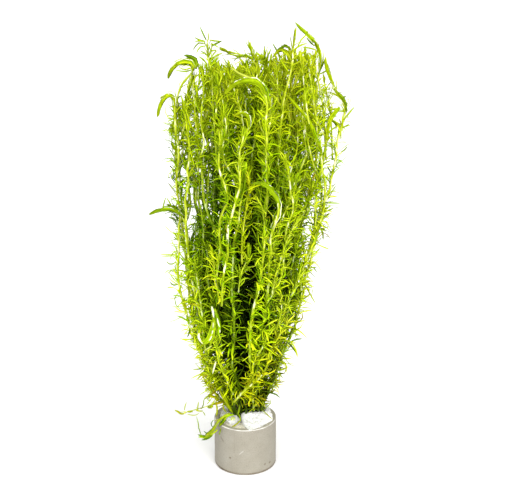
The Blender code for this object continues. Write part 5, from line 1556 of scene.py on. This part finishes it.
def ceramic_material():
    """Unglazed pale ceramic: warm grey, finely speckled, matte."""
    mat, nt, sh = node_tree("pale_sintered_ceramic")
    cloud = noise_tex(nt, 130.0, 4.0, 0.6)
    grain = noise_tex(nt, 2300.0, 3.0, 0.7)
    pores = noise_tex(nt, 1100.0, 2.0, 0.5)
    base = ramp(nt, cloud, [(0.30, (0.240, 0.221, 0.179)), (0.55, (0.262, 0.243, 0.200)),
                            (0.75, (0.285, 0.269, 0.225))])
    speck = ramp(nt, grain, [(0.28, (0.70, 0.68, 0.64)), (0.45, (0.97, 0.97, 0.96)),
                             (0.70, (1.08, 1.08, 1.08))])
    colour = mix(nt, 1.0, base, speck, "MULTIPLY")
    dark = ramp(nt, pores, [(0.24, (1, 1, 1)), (0.29, (0, 0, 0))])
    colour = mix(nt, maths(nt, "MULTIPLY", dark, 0.45), colour, (0.26, 0.22, 0.16))
    # stain in the foot's edge, in pits and in a hairline; the rim's top face a lighter, yellower beige;
    # a painted highlight along the rim's outer edge, mixed with a pale scratch
    colour = mix(nt, maths(nt, "MULTIPLY", attr(nt, "stain"), 1.0, clamp=True), colour,
                 (0.085, 0.055, 0.022))
    colour = mix(nt, attr(nt, "top"), colour, (0.330, 0.310, 0.230))
    colour = mix(nt, attr(nt, "rim_highlight_and_scratch"), colour, (0.90, 0.89, 0.86))
    nt.links.new(colour, sh.inputs["Base Color"])
    nt.links.new(maths(nt, "MULTIPLY_ADD", grain, 0.25, 0.58), sh.inputs["Roughness"])
    sh.inputs["Specular IOR Level"].default_value = 0.35
    both = maths(nt, "ADD", maths(nt, "MULTIPLY", grain, 0.6),
                 maths(nt, "MULTIPLY", cloud, 0.8))
    bump(nt, sh, both, 0.35, 0.00012)
    return mat


def wool_material():
    """White filter wool: soft, matte, greyer and greener where it is wet."""
    mat, nt, sh = node_tree("white_wool")
    clump = noise_tex(nt, 420.0, 4.0, 0.6)
    hair = noise_tex(nt, 3800.0, 3.0, 0.7, 1.5)
    base = ramp(nt, clump, [(0.30, (0.66, 0.67, 0.62)), (0.50, (0.80, 0.80, 0.78)),
                            (0.70, (0.86, 0.86, 0.85))])
    grain = noise_tex(nt, 1500.0, 2.0, 0.6)
    grain = ramp(nt, grain, [(0.34, (0.72, 0.73, 0.70)), (0.50, (0.96, 0.96, 0.95)),
                             (0.62, (1.0, 1.0, 1.0))])
    base = mix(nt, 1.0, base, grain, "MULTIPLY")
    base = mix(nt, maths(nt, "MULTIPLY", attr(nt, "damp"), 0.55), base, (0.62, 0.63, 0.45))
    low = mix(nt, 1.0, grain, (0.640, 0.600, 0.450), "MULTIPLY")
    base = mix(nt, maths(nt, "MULTIPLY", attr(nt, "packed"), 0.92), base, low)
    nt.links.new(base, sh.inputs["Base Color"])
    nt.links.new(maths(nt, "MULTIPLY_ADD", hair, 0.15, 0.78), sh.inputs["Roughness"])
    sh.inputs["Specular IOR Level"].default_value = 0.25
    sh.inputs["Sheen Weight"].default_value = 0.35
    sh.inputs["Sheen Roughness"].default_value = 0.5
    bump(nt, sh, hair, 0.60, 0.0003)
    return mat


# ------------------------------------------------------------------ the pot
def on_pot(u, v):
    """Angle and height of the point of the pot's wall seen at (u, v)."""
    ray = FORWARD + np.array([1.0, 0, 0]) * (u - VIEW_U) / FOCAL \
        - UPWARD * (v - VIEW_V) / FOCAL
    a = ray[0] ** 2 + ray[1] ** 2
    b = EYE[0] * ray[0] + EYE[1] * ray[1]
    c = EYE[0] ** 2 + EYE[1] ** 2 - POT_RADIUS ** 2
    k = (-b - math.sqrt(max(b * b - a * c, 0.0))) / a
    p = EYE + ray * k
    return math.atan2(p[1], p[0]), p[2]


def segment_value(angle, z, marks, width):
    """1 on short straight marks of the wall, fading out at their width."""
    out = np.zeros_like(z)
    for (u0, v0), (u1, v1) in marks:
        a0, z0 = on_pot(u0, v0)
        a1, z1 = on_pot(u1, v1)
        px, py = (angle - a0) * POT_RADIUS, z - z0
        qx, qy = (a1 - a0) * POT_RADIUS, z1 - z0
        t = np.clip((px * qx + py * qy) / (qx * qx + qy * qy + 1e-12), 0, 1)
        d = np.hypot(px - t * qx, py - t * qy)
        out = np.maximum(out, np.clip(1.6 - d / width, 0, 1))
    return out


def make_pot(mat):
    around = 180
    rr, ff = 0.0008, 0.0006
    prof = [(0.0145, 0.0), (0.0152, 0.0)]
    for k in range(1, 5):                                    # foot bevel
        a = k / 4.0
        prof.append((POT_RADIUS - ff + ff * a, ff * a * 1.0))
    for k in range(1, 49):                                   # wall
        prof.append((POT_RADIUS, ff + (POT_HEIGHT - rr - ff) * k / 48.0))
    for k in range(1, 7):                                    # rim, outer edge
        a = k / 6.0 * math.pi / 2
        prof.append((POT_RADIUS - rr + rr * math.cos(a), POT_HEIGHT - rr + rr * math.sin(a)))
    for k in range(1, 4):
        prof.append((POT_RADIUS - rr - (POT_WALL - 2 * rr) * k / 3.0, POT_HEIGHT))
    for k in range(1, 7):                                    # rim, inner edge
        a = k / 6.0 * math.pi / 2
        prof.append((POT_RADIUS - POT_WALL + rr - rr * math.sin(a),
                     POT_HEIGHT - rr + rr * math.cos(a)))
    for k in range(1, 13):
        prof.append((POT_RADIUS - POT_WALL, POT_HEIGHT - rr - (POT_HEIGHT - rr - POT_FLOOR) * k / 12.0))
    for r in (0.0105, 0.0070, 0.0035):
        prof.append((r, POT_FLOOR))
    prof = [(r, 0.0) for r in (0.0035, 0.0075, 0.0115)] + prof
    prof = np.array(prof)
    n = len(prof)
    ang = np.linspace(0, 2 * math.pi, around, endpoint=False)
    A = np.tile(ang, n)
    R = np.repeat(prof[:, 0], around)
    Z = np.repeat(prof[:, 1], around)
    turn = (A + math.pi) % (2 * math.pi) - math.pi
    # out-of-true turning and soft dents of the wall, none on the foot face
    uneven = np.zeros_like(R)
    lift = np.zeros_like(R)
    for k in range(len(R)):
        p = Vector((math.cos(A[k]) * 0.016, math.sin(A[k]) * 0.016, Z[k]))
        uneven[k] = noise.noise(p * 90.0) * 0.00009 + noise.noise(p * 420.0) * 0.00003
        lift[k] = noise.noise(p * 230.0 + Vector((5, 1, 2))) * 0.00009
    wall = np.clip((R - 0.0125) / 0.0008, 0, 1) * np.clip(Z / 0.0006, 0, 1)
    R = R + np.minimum(uneven, 0.00008) * wall
    Z = Z + lift * np.clip((Z - 0.0235) / 0.0020, 0, 1) * wall
    # pits, hairline, pale scratch and vertical seam of the front wall
    outer = (R > POT_RADIUS - 0.0006)
    pits = [((269.6, 462.4), (270.2, 462.1)), ((265.0, 464.2), (265.3, 464.0)),
            ((229.8, 457.6), (230.1, 457.9))]
    pit = segment_value(turn, Z, pits, 0.00038) * outer
    hair = segment_value(turn, Z, [((220.9, 437.2), (223.2, 441.4))], 0.00026) * outer
    seam = segment_value(turn, Z, [((234.6, 433.0), (234.5, 452.0))], 0.00022) * outer
    scratch = segment_value(turn, Z, [((239.7, 454.0), (242.9, 451.7))], 0.00018) * outer
    R = R - pit * 0.00022 - hair * 0.00006 - seam * 0.00004
    X, Y = R * np.cos(A), R * np.sin(A)
    co = np.stack([X, Y, Z], axis=1)
    foot = np.clip(1.7 - np.abs(Z - 0.0004) / 0.00075, 0, 1) * (R > 0.0150) \
        * (0.45 + 0.55 * np.abs(np.cos(turn)))
    broken = 0.5 + 0.5 * value_noise(turn / 0.35 + 40, 77)
    inside = (R < POT_RADIUS - 0.0009).astype(float)
    top = np.clip((Z - (POT_HEIGHT - 0.0006)) / 0.0004, 0, 1) * (R < POT_RADIUS - 0.00045)
    stain = np.clip(foot * (0.75 + 0.75 * broken) + inside * 0.10
                    + pit * 0.85 + hair * 0.75 + seam * 0.12, 0, 1)
    # painted highlight along the rim's outer edge, mixed with the pale scratch
    edge = np.clip(1.1 - np.abs(R - (POT_RADIUS - 0.00020)) / 0.00017, 0, 1) \
        * (Z > POT_HEIGHT - 0.00060)
    rim_highlight_and_scratch = np.clip(edge * 0.80 * (0.75 + 0.45 * value_noise(turn / 0.12 + 90, 78))
                     + scratch * 0.20, 0, 1)
    faces = []
    for k in range(n - 1):
        for j in range(around):
            j2 = (j + 1) % around
            faces.append((k * around + j, k * around + j2, (k + 1) * around + j2,
                          (k + 1) * around + j))
    co = np.concatenate([co, [[0, 0, 0.0], [0, 0, POT_FLOOR]]])
    low, high = n * around, n * around + 1
    for j in range(around):
        j2 = (j + 1) % around
        faces.append((j2, j, low))
        faces.append(((n - 1) * around + j, (n - 1) * around + j2, high))
    mesh = bpy.data.meshes.new("pot_turned")
    mesh.from_pydata([tuple(c) for c in co], [], faces)
    for key, arr in (("stain", stain), ("rim_highlight_and_scratch", rim_highlight_and_scratch), ("top", top)):
        a = mesh.attributes.new(key, "FLOAT", "POINT")
        a.data.foreach_set("value", np.concatenate([arr, [0.2, 0.2]]).astype(np.float32))
    mesh.polygons.foreach_set("use_smooth", np.ones(len(mesh.polygons), bool))
    mesh.update()
    mesh.materials.append(mat)
    obj = bpy.data.objects.new("pot_turned", mesh)
    bpy.context.scene.collection.objects.link(obj)
    return obj


# ------------------------------------------------------------------ the wool
def wad_point(p, angles, top, bottom):
    """A point of the unit ball carried into the wad's bent block."""
    a0, a1 = (math.radians(a) for a in angles)
    cx, cy = BUNDLE_CENTRE
    outer = POT_RADIUS - POT_WALL + 0.0001
    q = [math.copysign(abs(c) ** 0.42, c) for c in p]
    a = 0.5 * (a0 + a1) + 0.5 * (a1 - a0) * q[0]
    ca, sa = math.cos(a), math.sin(a)
    along = cx * ca + cy * sa
    reach = BUNDLE_RADIUS + STEM_RADIUS + 0.0004
    inner = along + math.sqrt(max(reach ** 2 - (cx ** 2 + cy ** 2 - along ** 2), 1e-9))
    inner = min(inner, outer - 0.0012)
    rad = 0.5 * (inner + outer) + 0.5 * (outer - inner) * q[1]
    z = 0.5 * (bottom + top) + 0.5 * (top - bottom) * q[2]
    return rad * math.cos(a), rad * math.sin(a), z


class Torn:
    """A torn piece of wool: its outline seen from above, in mm, and how high
    its top lies along y.  Below the rim it keeps to the mouth."""

    def __init__(self, outline, top_y, top_z, depth):
        self.poly = np.array(outline) * 0.001
        self.top_y, self.top_z = np.array(top_y) * 0.001, np.array(top_z) * 0.001
        self.depth = depth
        self.mid = self.poly.mean(axis=0)
        self.phi = np.linspace(-math.pi, math.pi, 361)
        wide, low = [], []
        for a in self.phi:
            d = np.array([math.cos(a), math.sin(a)])
            wide.append(self.edge(d))
            low.append(min(wide[-1], self.circle(d, np.zeros(2), POT_RADIUS - POT_WALL, True),
                           self.circle(d, np.array(BUNDLE_CENTRE),
                                       BUNDLE_RADIUS + STEM_RADIUS, False)))
        self.wide, self.low = np.array(wide), np.array(low)

    def edge(self, d):
        best = 1.0
        for a, b in zip(self.poly, np.roll(self.poly, -1, axis=0)):
            e = b - a
            det = d[1] * e[0] - d[0] * e[1]
            if abs(det) < 1e-12:
                continue
            w = a - self.mid
            t = (w[1] * e[0] - w[0] * e[1]) / det
            k = (w[1] * d[0] - w[0] * d[1]) / det
            if t > 0 and -1e-6 <= k <= 1 + 1e-6:
                best = min(best, t)
        return best

    def circle(self, d, centre, radius, leaving):
        w = self.mid - centre
        b = w @ d
        disc = b * b - w @ w + radius * radius
        if disc <= 0:
            return 1.0
        t = -b + math.sqrt(disc) if leaving else -b - math.sqrt(disc)
        return t if t > 0 else 1.0

    def point(self, p):
        rho, a = math.hypot(p[0], p[1]), math.atan2(p[1], p[0])
        norm = (rho ** 5 + abs(p[2]) ** 5) ** 0.2
        s, q = rho / norm, p[2] / norm
        d = np.array([math.cos(a), math.sin(a)])
        wide, low = np.interp(a, self.phi, self.wide), np.interp(a, self.phi, self.low)
        base = POT_HEIGHT + 0.0002
        if q >= 0:
            xy = self.mid + d * wide * s
            z = base + (np.interp(xy[1], self.top_y, self.top_z) - base) * q
            return xy[0], xy[1], z
        f = min(1.0, -q / 0.3)
        f = f * f * (3 - 2 * f)
        xy = self.mid + d * (wide + (low - wide) * f) * s
        return xy[0], xy[1], base - max(0.0, -q - 0.3) / 0.7 * self.depth


def packed_ring(verts, faces):
    """Wool pressed flat round the bundle, just below the rim."""
    prof = ((0.01338, 0.0236), (0.01338, 0.0252), (0.0132, 0.0256), (0.0124, 0.0258),
            (0.0117, 0.0258), (0.0110, 0.0258), (0.0103, 0.0258), (0.0096, 0.0258),
            (0.0090, 0.0256), (0.0088, 0.0249), (0.0088, 0.0236))
    around, start, n = 150, len(verts), len(prof)
    for j in range(around):
        a = 2 * math.pi * j / around
        for r, z in prof:
            t = (0.01338 - r) / (0.01338 - 0.0088)
            q = Vector((BUNDLE_CENTRE[0] * t + r * math.cos(a),
                        BUNDLE_CENTRE[1] * t + r * math.sin(a), z))
            if z > 0.0250:
                q.z += noise.noise(q * 700.0) * 0.00025 + noise.noise(q * 2400.0) * 0.00012
            verts.append(tuple(q))
    for j in range(around):
        j2 = (j + 1) % around
        for k in range(n):
            k2 = (k + 1) % n
            faces.append((start + j * n + k, start + j2 * n + k,
                          start + j2 * n + k2, start + j * n + k2))


def make_wad(name, shape, level, seed, mat):
    """A torn wad of wool: a lumpy body and loose fibres over its surface."""
    rs = np.random.RandomState(seed)
    bpy.ops.mesh.primitive_ico_sphere_add(subdivisions=level, radius=1.0)
    body = bpy.context.object
    me = body.data
    unit = np.array([v.co[:] for v in me.vertices])
    off = Vector((seed * 1.7, seed * 0.9, seed * 0.4))
    pts = np.array([shape.point(u) if isinstance(shape, Torn) else wad_point(u, *shape)
                    for u in unit])
    centre = pts.mean(axis=0)
    for k, p in enumerate(pts):
        q = Vector(p)
        lump = noise.noise(q * 420.0 + off) * 0.00060 + noise.noise(q * 1100.0 + off) * 0.00034 \
            + noise.noise(q * 2600.0 + off) * 0.00018
        free = min(1.0, max(0.10, (p[2] - POT_HEIGHT - 0.0001) / 0.0010))
        out = (p - centre) / (np.linalg.norm(p - centre) + 1e-9)
        out = 0.5 * out + np.array([0, 0, 0.6]) * (1 if p[2] > POT_HEIGHT - 0.001 else 0)
        pts[k] = p + out * lump * free
    me.vertices.foreach_set("co", pts.astype(np.float32).reshape(-1))
    me.update()
    # loose fibres
    me.calc_loop_triangles()
    normals = np.array([v.normal[:] for v in me.vertices])
    high = np.where(pts[:, 2] > POT_HEIGHT - 0.0012)[0]
    fibres = []
    for k in range(500):
        i = high[rs.randint(len(high))]
        p = pts[i] + normals[i] * rs.uniform(-0.00005, 0.00018)
        d = np.cross(normals[i], rs.normal(0, 1, 3))
        d /= np.linalg.norm(d) + 1e-9
        line = [p]
        bend = rs.normal(0, 0.55, 3)
        lift = rs.uniform(-0.25, 0.55) if rs.uniform() < 0.8 else rs.uniform(0.5, 1.2)
        for _ in range(5):
            d = d + bend * 0.25 + normals[i] * lift * 0.22 + rs.normal(0, 0.22, 3)
            d /= np.linalg.norm(d)
            line.append(line[-1] + d * rs.uniform(0.00018, 0.00042))
        fibres.append((np.array(line), rs.uniform(0.000016, 0.000034)))
    verts, faces = [], []
    for line, r in fibres:
        base = len(verts)
        t = np.gradient(line, axis=0)
        for q, d in zip(line, t):
            d = d / (np.linalg.norm(d) + 1e-12)
            n1 = np.cross(d, [0.3, 0.2, 0.93])
            n1 /= np.linalg.norm(n1) + 1e-12
            n2 = np.cross(d, n1)
            for a in (0.0, 2.0944, 4.1888):
                verts.append(tuple(q + r * (n1 * math.cos(a) + n2 * math.sin(a))))
        m = len(line)
        for k in range(m - 1):
            for j in range(3):
                j2 = (j + 1) % 3
                faces.append((base + k * 3 + j, base + k * 3 + j2,
                              base + (k + 1) * 3 + j2, base + (k + 1) * 3 + j))
        faces.append((base + 2, base + 1, base))
        faces.append((base + (m - 1) * 3, base + (m - 1) * 3 + 1, base + (m - 1) * 3 + 2))
    if name == "wool_wad_front_left":
        packed_ring(verts, faces)
    fm = bpy.data.meshes.new(name + "_fibres")
    fm.from_pydata(verts, [], faces)
    fo = bpy.data.objects.new(name + "_fibres", fm)
    bpy.context.scene.collection.objects.link(fo)
    bpy.ops.object.select_all(action="DESELECT")
    fo.select_set(True)
    body.select_set(True)
    bpy.context.view_layer.objects.active = body
    bpy.ops.object.join()
    body.name = name + "_fluffy"
    me = body.data
    co = np.zeros(len(me.vertices) * 3, np.float32)
    me.vertices.foreach_get("co", co)
    co = co.reshape(-1, 3)
    near = np.hypot(co[:, 0] - BUNDLE_CENTRE[0], co[:, 1] - BUNDLE_CENTRE[1])
    damp = np.clip(1 - (near - 0.0078) / 0.0012, 0, 1) * 0.7 \
        + np.clip((POT_HEIGHT - 0.0005 - co[:, 2]) / 0.004, 0, 1) \
        + 0.9 * np.clip((-0.0085 - co[:, 0]) / 0.0030, 0, 1)
    packed = np.clip((POT_HEIGHT + 0.0002 - co[:, 2]) / 0.0004, 0, 1)
    for key, value in (("damp", damp), ("packed", packed)):
        a = me.attributes.new(key, "FLOAT", "POINT")
        a.data.foreach_set("value", np.clip(value, 0, 1).astype(np.float32))
    me.polygons.foreach_set("use_smooth", np.ones(len(me.polygons), bool))
    me.materials.clear()
    me.materials.append(mat)
    return body


# ------------------------------------------------------------------ assembly
names, axes, in_mouth = shoot_axes()
tissue = plant_material()
total_leaves = 0
horns = []
for name, line in zip(names, axes):
    if STYLE.get(name, PLAIN)[0] >= 1.0:
        tip = line[-6 if name == "shoot_centre_small_crook" else -12:]
        tip = np.stack([np.interp(np.arange(0, len(tip) - 0.9, 0.5), np.arange(len(tip)),
                                  tip[:, k]) for k in range(3)], axis=1)
        horns.append(np.concatenate([to_view(tip), tip[:, 1:2]], axis=1))
horns = np.concatenate(horns)
for index, (name, line) in enumerate(zip(names, axes)):
    piece, count = grow(name, line, index, tissue, index < in_mouth, horns)
    total_leaves += count
    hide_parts(name)
    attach(piece, "root")

pot = make_pot(ceramic_material())
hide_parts("pot")
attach(pot, "root")

white = wool_material()
WADS = [
    ("wool_wad_front_right",
     Torn([(-2.2, -5.2), (3.0, -4.9), (8.8, -4.6), (12.1, -3.4), (14.2, -5.6), (11.6, -8.4),
           (7.6, -13.0), (2.2, -16.2), (0.1, -13.0), (-1.7, -8.0)],
          (-16.4, -13.0, -8.0, -4.8, -3.0), (26.55, 27.1, 29.4, 31.8, 31.6), 0.0185), 5, 3),
    ("wool_wad_front_left",
     Torn([(-2.9, -5.4), (-2.4, -7.6), (-4.0, -10.6), (-7.4, -9.4), (-10.0, -6.6),
           (-12.2, -2.6), (-12.8, 1.4), (-11.6, 4.4), (-9.4, 2.2), (-8.2, -1.4), (-6.0, -4.2)],
          (-13.0, -9.0, -5.0, 4.0), (26.9, 27.6, 28.6, 28.0), 0.0170), 5, 5),
    ("wool_wad_back", ((-17, 158), 0.0296, 0.0080), 4, 8),
]
for name, shape, level, seed in WADS:
    wad = make_wad(name, shape, level, seed, white)
    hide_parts(name)
    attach(wad, "root")

# ------------------------------------------------------------------ the stage
floor_mesh = bpy.data.meshes.new("floor")
floor_mesh.from_pydata([(-7, -4, 0), (7, -4, 0), (7, 10, 0), (-7, 10, 0)], [], [(0, 1, 2, 3)])
floor = bpy.data.objects.new("floor", floor_mesh)
bpy.context.scene.collection.objects.link(floor)
floor_mat, nt, sh = node_tree("pale_floor")
sh.inputs["Base Color"].default_value = (0.95, 0.95, 0.95, 1.0)
sh.inputs["Roughness"].default_value = 0.85
sh.inputs["Specular IOR Level"].default_value = 0.1
floor_mesh.materials.append(floor_mat)

world = bpy.data.worlds.new("studio")
world.use_nodes = True
world.node_tree.nodes["Background"].inputs["Color"].default_value = (1.0, 1.0, 1.0, 1.0)
world.node_tree.nodes["Background"].inputs["Strength"].default_value = 0.55
bpy.context.scene.world = world


def sun(name, aim_from, spread, power, colour):
    data = bpy.data.lights.new(name, "SUN")
    data.angle = math.radians(spread)
    data.energy = power
    data.color = colour
    obj = bpy.data.objects.new(name, data)
    obj.rotation_euler = Vector(aim_from).to_track_quat("Z", "Y").to_euler()
    bpy.context.scene.collection.objects.link(obj)
    return obj


sun("key", (0.55, -1.0, 0.50), 45.0, 2.6, (1.0, 0.99, 0.96))
sun("fill", (-0.60, -1.0, 0.45), 60.0, 1.7, (1.0, 1.0, 1.0))
sun("top", (0.05, -0.25, 1.0), 75.0, 1.5, (1.0, 1.0, 1.0))

cam_data = bpy.data.cameras.new("camera")
cam_data.sensor_width = 36.0
cam_data.lens = 36.0 * FOCAL / 506.0
cam_data.clip_start, cam_data.clip_end = 0.01, 60.0
cam = bpy.data.objects.new("camera", cam_data)
cam.location = tuple(EYE)
cam.rotation_euler = (math.pi / 2 - TILT, 0.0, 0.0)
bpy.context.scene.collection.objects.link(cam)
bpy.context.scene.camera = cam
bpy.context.scene.view_settings.view_transform = "Standard"

bpy.context.view_layer.update()
